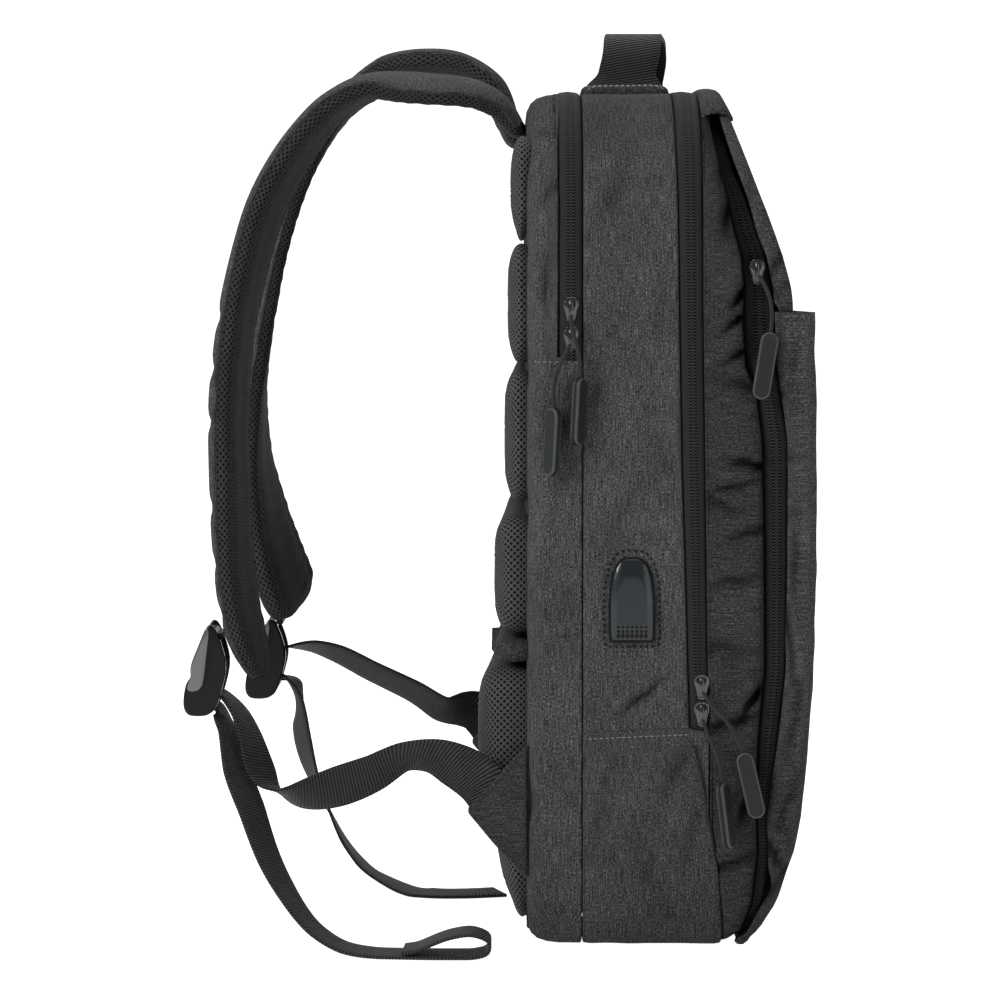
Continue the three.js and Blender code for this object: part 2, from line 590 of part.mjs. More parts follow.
function frontPocket() {
  const face = (z) => frontX('pocket', z);
  const corner = [0.1, 0.3, 0.6].map((share) => share * BASE_RADIUS);
  return frontShell([...corner, ...levelsBetween(BASE_RADIUS, POCKET_TOP, 10)], face, {
    inset: () => 0.4,
    behind: () => 0,
    lowest: 2 * CLOTH_WALL,
    highest: POCKET_TOP,
  });
}

// Back pads: crowned blocks with rounded corners
function backPad({ top, low, thick, taper }) {
  const high = top * BODY_HEIGHT;
  const foot = low * BODY_HEIGHT;
  const tall = high - foot;
  const deep = thick * REAR_DEPTH;
  const corner = Math.min(PAD_CORNER, tall * 0.45);
  const section = (out, shrink) => {
    const points = [];
    const wide = HALF - PAD_MARGIN - shrink;
    const rise = tall / 2 - shrink;
    const round = Math.max(corner - shrink, 1.5);
    for (let quarter = 0; quarter < 4; quarter += 1) {
      const sy = quarter === 0 || quarter === 3 ? 1 : -1;
      const sz = quarter < 2 ? 1 : -1;
      for (let i = 0; i <= 3; i += 1) {
        const turn = (quarter + i / 3) * (Math.PI / 2);
        const y = sy * (wide - round) + Math.cos(turn) * round;
        const z = sz * (rise - round) + Math.sin(turn) * round;
        const drop = taper * clamp(0.45 - z / tall, 0, 1);
        points.push(new THREE.Vector3(BACK_FACE - GAP - deep * out * (1 - drop), y, (high + foot) / 2 + z));
      }
    }
    return points;
  };
  const edge = Math.min(PAD_NOTCH, deep * 0.5);
  const crownIn = Math.min(tall * 0.3, 22);
  return loft([section(0, 0.5), section(0.55, 0), section(0.88, edge * 0.5), section(1, crownIn)]);
}

// Frames along a strap's centre line
function stations(table) {
  const line = new THREE.CatmullRomCurve3(table.map((row) => {
    const x = BACK_FACE - row.out * STRAP_REACH;
    const z = Math.max(row.up * BODY_HEIGHT, 2 * GAP + WEB_THICK / 2);
    return new THREE.Vector3(x, row.side * HALF, z);
  }), false, 'centripetal');
  return table.map((row, i) => {
    const share = i / (table.length - 1);
    const along = line.getTangent(share);
    const across = new THREE.Vector3(0, 1, 0).addScaledVector(along, -along.y).normalize();
    across.applyAxisAngle(along, THREE.MathUtils.degToRad(row.turn));
    const out = new THREE.Vector3().crossVectors(along, across);
    return { centre: line.getPoint(share), across, out, wide: row.wide ?? 1, thick: row.thick ?? 1 };
  });
}

// Twice as many rows as the table, for a smooth bend
function refine(table) {
  const rows = [];
  for (let i = 0; i + 1 < table.length; i += 1) {
    const [a, b] = [table[i], table[i + 1]];
    const [before, after] = [table[Math.max(i - 1, 0)], table[Math.min(i + 2, table.length - 1)]];
    const middle = {};
    for (const key of Object.keys(a)) {
      middle[key] = (9 * (a[key] + b[key]) - before[key] - after[key]) / 16;
    }
    rows.push(a, middle);
  }
  rows.push(table[table.length - 1]);
  return rows;
}

function ribbon(table, width, thick) {
  return loft(stations(table).map(({ centre, across, out }) => {
    const corner = (a, b) => centre.clone().addScaledVector(across, a).addScaledVector(out, b);
    const [w, t] = [width / 2, thick / 2];
    return [corner(-w, -t), corner(w, -t), corner(w, t), corner(-w, t)];
  }));
}

function paddedStrap(table) {
  const shape = [[-1, 0], [-0.93, 0.7], [-0.6, 1], [0.6, 1], [0.93, 0.7], [1, 0], [0.85, -0.8], [0, -1], [-0.85, -0.8]];
  return loft(stations(table).map(({ centre, across, out, wide, thick }) => shape.map(([a, b]) => {
    const point = centre.clone().addScaledVector(across, a * wide * STRAP_WIDTH / 2);
    return point.addScaledVector(out, b * thick * STRAP_THICK / 2);
  })));
}

// Carry handle of webbing on the crown: "along" is a share of half the spread and "rise" of
// the loop's height
const HANDLE_LINE = [
  { along: -1.30, rise: 0.00 },
  { along: -1.02, rise: 0.00 },
  { along: -0.93, rise: 0.10 },
  { along: -0.86, rise: 0.35 },
  { along: -0.78, rise: 0.66 },
  { along: -0.62, rise: 0.92 },
  { along: -0.36, rise: 1.00 },
];

function handle() {
  const far = HANDLE_LINE.map(({ along, rise }) => ({ along: -along, rise })).reverse();
  const rows = [...HANDLE_LINE, { along: 0, rise: 1 }, ...far];
  const middleX = (MAIN_START + MAIN_END) / 2 + 2;
  const lean = HANDLE_WIDTH * 0.15;
  const centres = rows.map(({ along, rise }) => {
    const y = along * HANDLE_SPREAD / 2;
    const seat = crowned(0, y, BODY_HEIGHT).z + GAP + HANDLE_THICK / 2;
    return new THREE.Vector3(middleX + lean * along, y, lerp(seat, BODY_HEIGHT + CROWN + HANDLE_RISE, rise));
  });
  return loft(centres.map((centre, i) => {
    const before = centres[Math.max(i - 1, 0)];
    const after = centres[Math.min(i + 1, centres.length - 1)];
    const along = after.clone().sub(before).setX(0).normalize();
    const out = new THREE.Vector3(0, -along.z, along.y);
    const corner = (a, b) => centre.clone().add(new THREE.Vector3(a, 0, 0)).addScaledVector(out, b);
    const [w, t] = [HANDLE_WIDTH / 2, HANDLE_THICK / 2];
    return [corner(-w, -t), corner(w, -t), corner(w, t), corner(-w, t)];
  }));
}

// A flat shape in the X-Z plane, given thickness towards the near side
function plate(points, thick, bevel = 0) {
  const shape = new THREE.Shape(points.map(([x, z]) => new THREE.Vector2(x, z)));
  const geometry = new THREE.ExtrudeGeometry(shape, {
    depth: thick - 2 * bevel,
    bevelEnabled: bevel > 0,
    bevelThickness: bevel,
    bevelSize: bevel,
    bevelOffset: -bevel,
    bevelSegments: 1,
    curveSegments: 6,
    steps: 1,
  });
  geometry.translate(0, 0, bevel);
  geometry.rotateX(Math.PI / 2);
  return geometry;
}

// Port pod: an arched, bevelled cover on the near side
function portPod() {
  const half = POD_WIDTH / 2;
  const points = [[-half, 0], [half, 0], [half, POD_HEIGHT * 0.62]];
  for (let i = 1; i < 6; i += 1) {
    const turn = (i / 6) * Math.PI;
    const [x, rise] = [Math.cos(turn) * half, Math.sin(turn)];
    points.push([x * (1 - 0.12 * rise), POD_HEIGHT * (0.62 + 0.38 * rise)]);
  }
  points.push([-half, POD_HEIGHT * 0.62]);
  return plate(points, POD_PROUD, 1.4);
}

// Stitched triangle that carries the end of the lower webbing; shares of STRAP_REACH behind
// the back face and of BODY_HEIGHT
const TAB_CORNERS = [
  { out: -0.003, up: 0.241 },
  { out: 0.190, up: 0.164 },
  { out: 0.192, up: 0.158 },
  { out: 0.108, up: 0.121 },
  { out: -0.003, up: 0.079 },
];

function strapTab(side) {
  const corners = TAB_CORNERS.map(({ out, up }) => [BACK_FACE - GAP - out * STRAP_REACH, up * BODY_HEIGHT]);
  const geometry = plate(corners, TAB_THICK);
  geometry.translate(0, side * (HALF - TAB_INSET) + TAB_THICK / 2, 0);
  return geometry;
}

// Side plate of a lock: shares of its depth and height from its lower back corner
const LOCK_PROFILE = [
  { u: 0.62, v: 1.00 },
  { u: 0.51, v: 0.92 },
  { u: 0.19, v: 0.56 },
  { u: 0.17, v: 0.48 },
  { u: 0.20, v: 0.42 },
  { u: 0.06, v: 0.36 },
  { u: 0.00, v: 0.14 },
  { u: 0.15, v: 0.01 },
  { u: 0.49, v: 0.00 },
  { u: 0.75, v: 0.09 },
  { u: 0.90, v: 0.31 },
  { u: 1.00, v: 0.54 },
  { u: 0.90, v: 0.76 },
  { u: 0.74, v: 0.96 },
];
const LOCK_BARS = [
  { u: 0.34, v: 0.17, thick: 0.16 },
  { u: 0.36, v: 0.36, thick: 0.12 },
  { u: 0.62, v: 0.62, thick: 0.16 },
  { u: 0.66, v: 0.88, thick: 0.16 },
];

const wasm = await Module();
wasm.setup();

function toSolid(geometry) {
  const bare = geometry.clone();
  bare.deleteAttribute('normal');
  bare.deleteAttribute('uv');
  const merged = mergeVertices(bare, 1e-4);
  return new wasm.Manifold(new wasm.Mesh({
    numProp: 3,
    vertProperties: new Float32Array(merged.attributes.position.array),
    triVerts: new Uint32Array(merged.index.array),
  }));
}

function toGeometry(solid) {
  const mesh = solid.getMesh();
  const geometry = new THREE.BufferGeometry();
  geometry.setAttribute('position', new THREE.BufferAttribute(new Float32Array(mesh.vertProperties), 3));
  geometry.setIndex(new THREE.BufferAttribute(new Uint32Array(mesh.triVerts), 1));
  return geometry;
}

// Ladder lock: two side plates joined by bars, open between them for the webbing
function ladderLock(centre, tilt) {
  const place = ({ u, v }) => [(u - 0.5) * LOCK_DEPTH, (v - 0.5) * LOCK_HEIGHT];
  const sidePlate = plate(LOCK_PROFILE.map(place), LOCK_PLATE);
  sidePlate.translate(0, LOCK_WIDTH / 2, 0);
  let solid = toSolid(sidePlate);
  sidePlate.translate(0, LOCK_PLATE - LOCK_WIDTH, 0);
  solid = solid.add(toSolid(sidePlate));
  for (const bar of LOCK_BARS) {
    const [x, z] = place(bar);
    const radius = bar.thick * LOCK_DEPTH / 2;
    const rod = new THREE.CylinderGeometry(radius, radius, LOCK_WIDTH - LOCK_PLATE, 8);
    rod.translate(x, 0, z);
    solid = solid.add(toSolid(rod));
  }
  const geometry = toGeometry(solid);
  geometry.rotateY(tilt);
  geometry.translate(centre.x, centre.y, centre.z);
  return geometry;
}

// Each lock hangs from the last row of its shoulder strap: "back" and "down" are shares of
// LOCK_DEPTH and LOCK_HEIGHT from there to the lock's middle. The ends of the short webbing
// that holds it are such shares from the lock's middle.
const NEAR_HANG = {
  back: 1.02, down: 0.07, side: -0.83, tilt: 0, from: { fore: 0.39, up: 0.338 }, to: { fore: 0.262, up: 0.378 },
};
const FAR_HANG = {
  back: 0.59, down: 0.65, side: 0.81, tilt: 0.1, from: { fore: 0.37, up: 0.518 }, to: { fore: 0.28, up: 0.415 },
};

function lockMiddle(strap, hang) {
  const { centre } = stations(strap)[strap.length - 1];
  return new THREE.Vector3(
    centre.x - hang.back * LOCK_DEPTH,
    hang.side * HALF,
    centre.z - hang.down * LOCK_HEIGHT,
  );
}

function lockSeat(strap, hang) {
  const middle = lockMiddle(strap, hang);
  const at = ({ fore, up }) => middle.clone().add(new THREE.Vector3(fore * LOCK_DEPTH, 0, up * LOCK_HEIGHT));
  const [from, to] = [at(hang.from), at(hang.to)];
  const along = to.clone().sub(from).normalize();
  const out = new THREE.Vector3().crossVectors(along, new THREE.Vector3(0, 1, 0));
  return loft([from, to].map((centre) => {
    const corner = (a, b) => centre.clone().add(new THREE.Vector3(0, a, 0)).addScaledVector(out, b);
    const [w, t] = [WEB_WIDTH / 2, WEB_THICK / 2];
    return [corner(-w, -t), corner(w, -t), corner(w, t), corner(-w, t)];
  }));
}

// Zip slider: a shield-shaped body with a raised bridge
function slider() {
  const [w, l] = [SLIDER_WIDTH / 2, SLIDER_LENGTH / 2];
  const shield = [[-w * 0.55, -l], [w * 0.55, -l], [w * 0.7, -l * 0.1], [w, l * 0.35], [w * 0.75, l]];
  shield.push([-w * 0.75, l], [-w, l * 0.35], [-w * 0.7, -l * 0.1]);
  const base = toSolid(plate(shield, SLIDER_PROUD * 0.55));
  const bridge = plate([[-w * 0.3, -l * 0.7], [w * 0.3, -l * 0.7], [w * 0.3, l * 0.7], [-w * 0.3, l * 0.7]], SLIDER_PROUD);
  return toGeometry(base.add(toSolid(bridge)));
}

// Rubber pull tab: a stadium, hanging from its upper end
function pullTab() {
  const radius = TAB_WIDTH / 2;
  const points = [];
  for (const [sign, cz] of [[1, -radius], [-1, radius - TAB_LENGTH]]) {
    for (let i = 0; i <= 5; i += 1) {
      const turn = (i / 5) * Math.PI + (sign > 0 ? 0 : Math.PI);
      points.push([Math.cos(turn) * radius, cz + Math.sin(turn) * radius]);
    }
  }
  const geometry = plate(points, PULL_THICK, 1);
  geometry.translate(0, PULL_THICK / 2, 0);
  return geometry;
}

// A cord's tube along a list of points
function cordTube(points) {
  const line = new THREE.CatmullRomCurve3(points.map((p) => new THREE.Vector3(...p)), false, 'centripetal');
  const section = new THREE.Shape();
  for (let i = 0; i < 8; i += 1) {
    const turn = (i / 8) * Math.PI * 2;
    const [x, y] = [Math.cos(turn) * CORD_WIDE / 2, Math.sin(turn) * CORD_WIDE / 2];
    if (i === 0) section.moveTo(x, y);
    else section.lineTo(x, y);
  }
  section.closePath();
  return new THREE.ExtrudeGeometry(section, { steps: 8, extrudePath: line, bevelEnabled: false });
}

// Sliders by zip: the height of each, and the middle of its tape there
const sliderX = {
  rear: () => MAIN_START - TAPE_WIDTH / 2,
  main: (z) => (mainRim({ z }) + gussetRim({ z })) / 2,
  front: (z) => (frontX('gusset', z) + 1.4 + frontX('edge', z)) / 2,
};
const tapeSunk = { rear: TAPE_SUNK, main: TAPE_SUNK, front: FRONT_ZIP_SUNK };
const zipEnd = { rear: REAR_ZIP_END, main: MAIN_ZIP_END, front: POCKET_TOP };

// Each pull: its zip, the slider's height above the zip's end or the pocket's top, the
// cord's points and how the tab hangs
const PULLS = [
  {
    zip: 'rear',
    above: 25,
    cord: [[-26.6, -153.95, 337], [-25.2, -155.6, 328], [-23, -155.8, 320], [-21.6, -155.6, 312], [-21.2, -155.2, 304.5]],
    hang: { lean: 3, roll: 58 },
  },
  {
    zip: 'rear',
    above: 9.5,
    cord: [[-27, -153.95, 321.5], [-31, -156.4, 313], [-34.4, -156.6, 306], [-35.6, -156.2, 297], [-35.2, -155.6, 288.5]],
    hang: { lean: 3, roll: -50 },
  },
  {
    zip: 'main',
    above: 24,
    cord: [[44.4, -153.95, 136.5], [49, -156.5, 130], [55, -157.8, 124], [61, -158, 115], [65.3, -157.6, 105.5]],
    hang: { lean: -13, roll: 0 },
  },
  {
    zip: 'main',
    above: 9.5,
    cord: [[44, -153.95, 122], [47.5, -156.2, 113], [51.5, -157.2, 105], [53.6, -157.4, 97], [54.2, -157.2, 89.5]],
    hang: { lean: -7, roll: 62 },
  },
  {
    zip: 'front',
    above: 15,
    cord: [[73.3, -149.35, 358], [76.5, -152.2, 352], [79, -153.4, 345], [79.8, -153.6, 337], [79.4, -153.4, 328.5]],
    hang: { lean: 9, roll: 0 },
  },
];

const FABRIC = { color: 0x3b3d3e, roughness: 0.92, metalness: 0 };
const MESH_FABRIC = { color: 0x1c1d1e, roughness: 0.95, metalness: 0 };
const WEBBING = { color: 0x151617, roughness: 0.8, metalness: 0 };
const ZIP = { color: 0x19191a, roughness: 0.7, metalness: 0 };
const METAL = { color: 0x121213, roughness: 0.35, metalness: 0.6 };
const PLASTIC = { color: 0x22262a, roughness: 0.5, metalness: 0 };
const RUBBER = { color: 0x2a2c2e, roughness: 0.65, metalness: 0 };

const bag = new THREE.Group();

function add(name, geometry, look, parent = bag) {
  const mesh = new THREE.Mesh(geometry, new THREE.MeshStandardMaterial(look));
  mesh.name = name;
  parent.add(mesh);
  return mesh;
}

add('rear_compartment', rearCompartment(), FABRIC);
add('main_compartment', mainCompartment(), FABRIC);
add('front_compartment', frontCompartment(), FABRIC);
add('front_flap', frontFlap(), FABRIC);
add('front_pocket', frontPocket(), FABRIC);
add('side_pocket_near', sidePocket(-1), FABRIC);
add('side_pocket_far', sidePocket(1), FABRIC);
add('zip_tape_rear', rearZipTape(), ZIP);
add('zip_tape_main', mainZipTape(), ZIP);
add('zip_tape_front', frontZipTape(), ZIP);
for (const pad of BACK_PADS) add(pad.name, backPad(pad), pad.name === 'lumbar_band' ? FABRIC : MESH_FABRIC);
add('handle', handle(), WEBBING);
add('shoulder_strap_near', paddedStrap(NEAR_STRAP), MESH_FABRIC);
add('shoulder_strap_far', paddedStrap(FAR_STRAP), MESH_FABRIC);
add('webbing_near', ribbon(refine(NEAR_WEBBING), WEB_WIDTH, WEB_THICK), WEBBING);
add('webbing_far', ribbon(refine(FAR_WEBBING), WEB_WIDTH, WEB_THICK), WEBBING);
add('tail_near', ribbon(refine(NEAR_TAIL), WEB_WIDTH, WEB_THICK), WEBBING);
add('tail_far', ribbon(refine(FAR_TAIL), WEB_WIDTH, WEB_THICK), WEBBING);
add('lock_seat_near', lockSeat(NEAR_STRAP, NEAR_HANG), WEBBING);
add('lock_seat_far', lockSeat(FAR_STRAP, FAR_HANG), WEBBING);
add('strap_tab_near', strapTab(-1), FABRIC);
add('strap_tab_far', strapTab(1), FABRIC);

add('ladder_lock_near', ladderLock(lockMiddle(NEAR_STRAP, NEAR_HANG), NEAR_HANG.tilt), PLASTIC);
add('ladder_lock_far', ladderLock(lockMiddle(FAR_STRAP, FAR_HANG), FAR_HANG.tilt), PLASTIC);

const pod = add('port_pod', portPod(), PLASTIC);
pod.position.set((MAIN_START + MAIN_END) / 2 - 2, -HALF - GAP, POD_Z);

PULLS.forEach((pull, i) => {
  const number = i + 1;
  const body = add(`zip_slider_${number}`, slider(), METAL);
  const z = zipEnd[pull.zip] + pull.above;
  body.position.set(sliderX[pull.zip](z), -HALF + tapeSunk[pull.zip] - GAP, z);
  add(`zip_cord_${number}`, cordTube(pull.cord), ZIP);
  const hook = new THREE.Group();
  const end = pull.cord[pull.cord.length - 1];
  hook.position.set(end[0], end[1], end[2] - GAP);
  hook.rotation.order = 'YZX';
  hook.rotation.y = THREE.MathUtils.degToRad(pull.hang.lean);
  hook.rotation.z = THREE.MathUtils.degToRad(pull.hang.roll);
  bag.add(hook);
  add(`pull_tab_${number}`, pullTab(), RUBBER, hook);
});

export default bag;
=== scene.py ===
"""Laptop backpack on a pale floor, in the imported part's frame.

Lengths and places are in millimetres, and mesh_object turns them into metres. +X is the front
of the bag, -Y the near side with the cable port, +Z up.
"""
import math

import bpy
import numpy as np
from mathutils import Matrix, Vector, noise
from mathutils.bvhtree import BVHTree


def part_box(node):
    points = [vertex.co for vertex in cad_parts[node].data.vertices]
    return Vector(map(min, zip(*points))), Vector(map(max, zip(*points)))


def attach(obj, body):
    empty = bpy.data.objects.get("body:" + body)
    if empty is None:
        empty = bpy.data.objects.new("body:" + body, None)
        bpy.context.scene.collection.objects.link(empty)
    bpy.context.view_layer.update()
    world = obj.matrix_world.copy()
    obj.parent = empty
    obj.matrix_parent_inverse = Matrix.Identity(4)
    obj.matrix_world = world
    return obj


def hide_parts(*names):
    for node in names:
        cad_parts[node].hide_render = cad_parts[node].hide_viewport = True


MM = 0.001

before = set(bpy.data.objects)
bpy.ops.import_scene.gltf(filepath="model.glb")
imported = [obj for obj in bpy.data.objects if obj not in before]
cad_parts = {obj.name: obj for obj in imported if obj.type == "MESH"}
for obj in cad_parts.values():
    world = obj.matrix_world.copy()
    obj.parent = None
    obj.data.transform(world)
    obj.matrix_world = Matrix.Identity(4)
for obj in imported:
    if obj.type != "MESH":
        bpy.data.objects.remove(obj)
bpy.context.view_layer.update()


def cad_box(node):
    low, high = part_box(node)
    return np.array(low) / MM, np.array(high) / MM


# Body, from the frame where a node gives the size
REAR_LOW, REAR_HIGH = cad_box("rear_compartment")
MAIN_LOW, MAIN_HIGH = cad_box("main_compartment")
HALF = MAIN_HIGH[1]
BACK_FACE = REAR_LOW[0]
MAIN_START = MAIN_LOW[0]
FRONT_START = MAIN_HIGH[0] + 0.3
BODY_HEIGHT = 450.0
CROWN = 11.0
TOP_RADIUS = 62.0
BASE_RADIUS = 8.0
TAPE_WIDTH = 13.0
REAR_ZIP_END = 315.0
MAIN_ZIP_END = 115.0
FRONT_DEPTH = 58.0
POCKET_HEM = 338.8
SIDE_POCKET_TOP = 114.6

POCKET_STITCH_DROP = 3.4
POCKET_SLOPE = 0.045
POCKET_RECESS = 2.2
# How far the painted shade stored on the cloth meshes darkens them
PAINTED_SHADE_STRENGTH = 0.85
SIDES = {-1: "near", 1: "far"}

# Camera: the photograph's viewpoint, and its angle of view across the frame
CAMERA_PLACE = (-63.8, -2000.0, 350.0)
CAMERA_PITCH = 86.57
CAMERA_ANGLE = 16.31


def lerp(a, b, t):
    return a + (b - a) * t


def smooth(t):
    t = np.clip(t, 0, 1)
    return t * t * (3 - 2 * t)


def bump(x, middle, width):
    return np.exp(-(((x - middle) / width) ** 2))


def run_along(path):
    """The length along a path of points up to each of them."""
    return np.concatenate([[0], np.cumsum(np.linalg.norm(np.diff(path, axis=0), axis=1))])


# Meshes

def linked(name, data):
    thing = bpy.data.objects.new(name, data)
    bpy.context.scene.collection.objects.link(thing)
    return thing


def faces_object(name, vertices, faces, material):
    """A mesh from loose points and faces."""
    mesh = bpy.data.meshes.new(name)
    mesh.from_pydata([tuple(c * MM for c in v) for v in vertices], [], faces)
    mesh.materials.append(material)
    return linked(name, mesh)


def mesh_object(name, points, uv=None, closed=False, flip=False, material=None, cap=False, uv_from=None):
    """A sheet of quads through a grid of points (rows, columns, xyz). uv_from is (row, uv): the
    quads from that row on take their places on the cloth from it."""
    points = np.asarray(points, float)
    rows, columns, _ = points.shape
    last = columns if closed else columns - 1
    faces = []
    places = []
    for r in range(rows - 1):
        source = 1 if uv_from is not None and r >= uv_from[0] else 0
        for c in range(last):
            d = (c + 1) % columns
            quad = [(r, c, c), (r, d, c + 1), (r + 1, d, c + 1), (r + 1, c, c)]
            if flip:
                quad.reverse()
            faces.append([i * columns + j for i, j, _ in quad])
            places.append([(source, i, k) for i, _, k in quad])
    if cap:
        for r in (0, rows - 1):
            ring = [r * columns + c for c in range(columns)]
            if (r == 0) != flip:
                ring.reverse()
            faces.append(ring)
            places.append([(1 if uv_from is not None and r else 0, r, i % columns) for i in ring])
    mesh = bpy.data.meshes.new(name)
    mesh.from_pydata((points.reshape(-1, 3) * MM).tolist(), [], faces)
    if uv is not None:
        sources = [np.asarray(uv, float) * MM]
        if uv_from is not None:
            sources.append(np.asarray(uv_from[1], float) * MM)
        layer = mesh.uv_layers.new(name="UVMap")
        flat = []
        for corners in places:
            for k, i, j in corners:
                flat.extend(sources[k][i, min(j, sources[k].shape[1] - 1)])
        layer.data.foreach_set("uv", flat)
    mesh.polygons.foreach_set("use_smooth", [True] * len(mesh.polygons))
    mesh.update()
    thing = linked(name, mesh)
    if material:
        mesh.materials.append(material)
    return thing


def settle(thing, slot, *nodes):
    """The piece rides on the bag and stands for the CAD nodes, which it hides; slot is not used."""
    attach(thing, "root")
    if nodes:
        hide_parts(*nodes)
    return thing


def solidify(thing, thick, offset=-1.0):
    wall = thing.modifiers.new("wall", "SOLIDIFY")
    wall.thickness = thick * MM
    wall.offset = offset
    return thing


def bevel(thing, width, segments=2):
    edge = thing.modifiers.new("bevel", "BEVEL")
    edge.width = width * MM
    edge.segments = segments
    edge.limit_method = "ANGLE"
    edge.angle_limit = math.radians(40)
    return thing


def soft_noise(x, y, z, scale, seed=0.0):
    """Smooth noise from -1 to 1 at each point, with features about scale millimetres wide."""
    flat = np.broadcast_arrays(x, y, z)
    out = [
        noise.noise(Vector((a / scale + seed, b / scale - seed, c / scale + 2 * seed)))
        for a, b, c in zip(flat[0].ravel(), flat[1].ravel(), flat[2].ravel())
    ]
    return np.array(out).reshape(flat[0].shape)


# Materials

class Nodes:
    """A material's node tree, with short calls for the nodes used here."""

    def __init__(self, name):
        self.material = bpy.data.materials.new(name)
        self.material.use_nodes = True
        self.tree = self.material.node_tree
        self.shader = self.tree.nodes["Principled BSDF"]

    def add(self, kind, **values):
        node = self.tree.nodes.new(kind)
        for key, value in values.items():
            setattr(node, key, value)
        return node

    def link(self, source, target):
        self.tree.links.new(source, target)

    def put(self, socket, value):
        if isinstance(value, bpy.types.NodeSocket):
            self.link(value, socket)
        else:
            socket.default_value = value

    def math(self, operation, a, b=0.0, clamp=False):
        node = self.add("ShaderNodeMath", operation=operation, use_clamp=clamp)
        self.put(node.inputs[0], a)
        self.put(node.inputs[1], b)
        return node.outputs[0]

    def times(self, a, b, clamp=False):
        return self.math("MULTIPLY", a, b, clamp)

    def plus(self, a, b, clamp=False):
        return self.math("ADD", a, b, clamp)

    def minus(self, a, b, clamp=False):
        return self.math("SUBTRACT", a, b, clamp)

    def sine(self, a):
        return self.math("SINE", a)

    def uv(self):
        """The piece's own u and v, in millimetres."""
        split = self.add("ShaderNodeSeparateXYZ")
        self.link(self.add("ShaderNodeTexCoord").outputs["UV"], split.inputs[0])
        return self.times(split.outputs[0], 1000.0), self.times(split.outputs[1], 1000.0)

    def join(self, x, y, z=0.0):
        node = self.add("ShaderNodeCombineXYZ")
        for socket, value in zip(node.inputs, (x, y, z)):
            self.put(socket, value)
        return node.outputs[0]

    def noise(self, vector, scale=1.0, detail=2.0, roughness=0.5):
        node = self.add("ShaderNodeTexNoise")
        self.link(vector, node.inputs["Vector"])
        node.inputs["Scale"].default_value = scale
        node.inputs["Detail"].default_value = detail
        node.inputs["Roughness"].default_value = roughness
        return node.outputs["Fac"]

    def ramp(self, value, *stops):
        node = self.add("ShaderNodeValToRGB")
        self.put(node.inputs[0], value)
        ramp = node.color_ramp
        while len(ramp.elements) < len(stops):
            ramp.elements.new(0.5)
        for element, (place, colour) in zip(ramp.elements, stops):
            element.position = place
            element.color = (colour, colour, colour, 1) if isinstance(colour, float) else (*colour, 1)
        return node.outputs[0]

    def mix(self, share, a, b):
        node = self.add("ShaderNodeMix", data_type="RGBA")
        self.put(node.inputs[0], share)
        for socket, value in ((node.inputs[6], a), (node.inputs[7], b)):
            self.put(socket, (*value, 1) if isinstance(value, tuple) else value)
        return node.outputs[2]

    def height(self, value, distance, strength=1.0):
        node = self.add("ShaderNodeBump")
        node.inputs["Strength"].default_value = strength
        node.inputs["Distance"].default_value = distance * MM
        self.link(value, node.inputs["Height"])
        self.link(node.outputs[0], self.shader.inputs["Normal"])

    def finish(self, colour, roughness, sheen=0.0, coat=0.0, specular=0.3):
        self.put(self.shader.inputs["Base Color"], (*colour, 1) if isinstance(colour, tuple) else colour)
        self.put(self.shader.inputs["Roughness"], roughness)
        self.shader.inputs["Sheen Weight"].default_value = sheen
        self.shader.inputs["Sheen Roughness"].default_value = 0.5
        self.shader.inputs["Coat Weight"].default_value = coat
        self.shader.inputs["Specular IOR Level"].default_value = specular
        return self.material


def heather(name, along_v=True, light=0.15, dark=0.004):
    """Woven charcoal cloth: pale flecks and thin streaks along the warp, short dashes across.
    A value stored on the mesh darkens it: painted shade in creases, near the base, over the top and on shaded
    parts."""
    n = Nodes(name)
    # Painted shade: the value stored on the mesh darkens the cloth's colour
    crease = n.add("ShaderNodeAttribute")
    crease.attribute_name = "painted_shade"
    lit = n.minus(1.0, n.times(crease.outputs["Fac"], PAINTED_SHADE_STRENGTH), clamp=True)
    u, v = n.uv()
    if not along_v:
        u, v = v, u
    fine = n.noise(n.join(n.times(u, 2.3), n.times(v, 0.75)), 1.0, 1.0, 0.5)
    streak = n.noise(n.join(n.times(u, 1.9), n.times(v, 0.10), 5.0), 1.0, 1.0, 0.5)
    cross = n.noise(n.join(n.times(u, 0.55), n.times(v, 2.2), 9.0), 1.0, 1.0, 0.5)
    cloud = n.noise(n.join(n.times(u, 0.03), n.times(v, 0.02), 3.0), 1.0, 3.0)
    fleck = n.plus(n.times(fine, 0.46), n.times(streak, 0.30))
    fleck = n.plus(fleck, n.times(cross, 0.24))
    share = n.ramp(fleck, (0.36, 0.03), (0.48, 0.20), (0.56, 0.46), (0.70, 1.0))
    over = n.sine(n.times(u, 2 * math.pi / 0.9))
    under = n.sine(n.times(v, 2 * math.pi / 0.9))
    weave = n.times(over, under)
    shade = n.plus(n.times(weave, 0.15), n.plus(n.times(cloud, 0.8), 0.58))
    shade = n.times(shade, lit)
    colour = n.mix(share, (dark, dark * 1.02, dark * 1.03), (light, light * 1.01, light * 0.99))
    tint = n.add("ShaderNodeVectorMath", operation="SCALE")
    n.link(colour, tint.inputs[0])
    n.link(shade, tint.inputs["Scale"])
    n.height(n.plus(weave, n.times(fleck, 2.5)), 0.2, 0.6)
    return n.finish(tint.outputs[0], 0.9, specular=0.06)


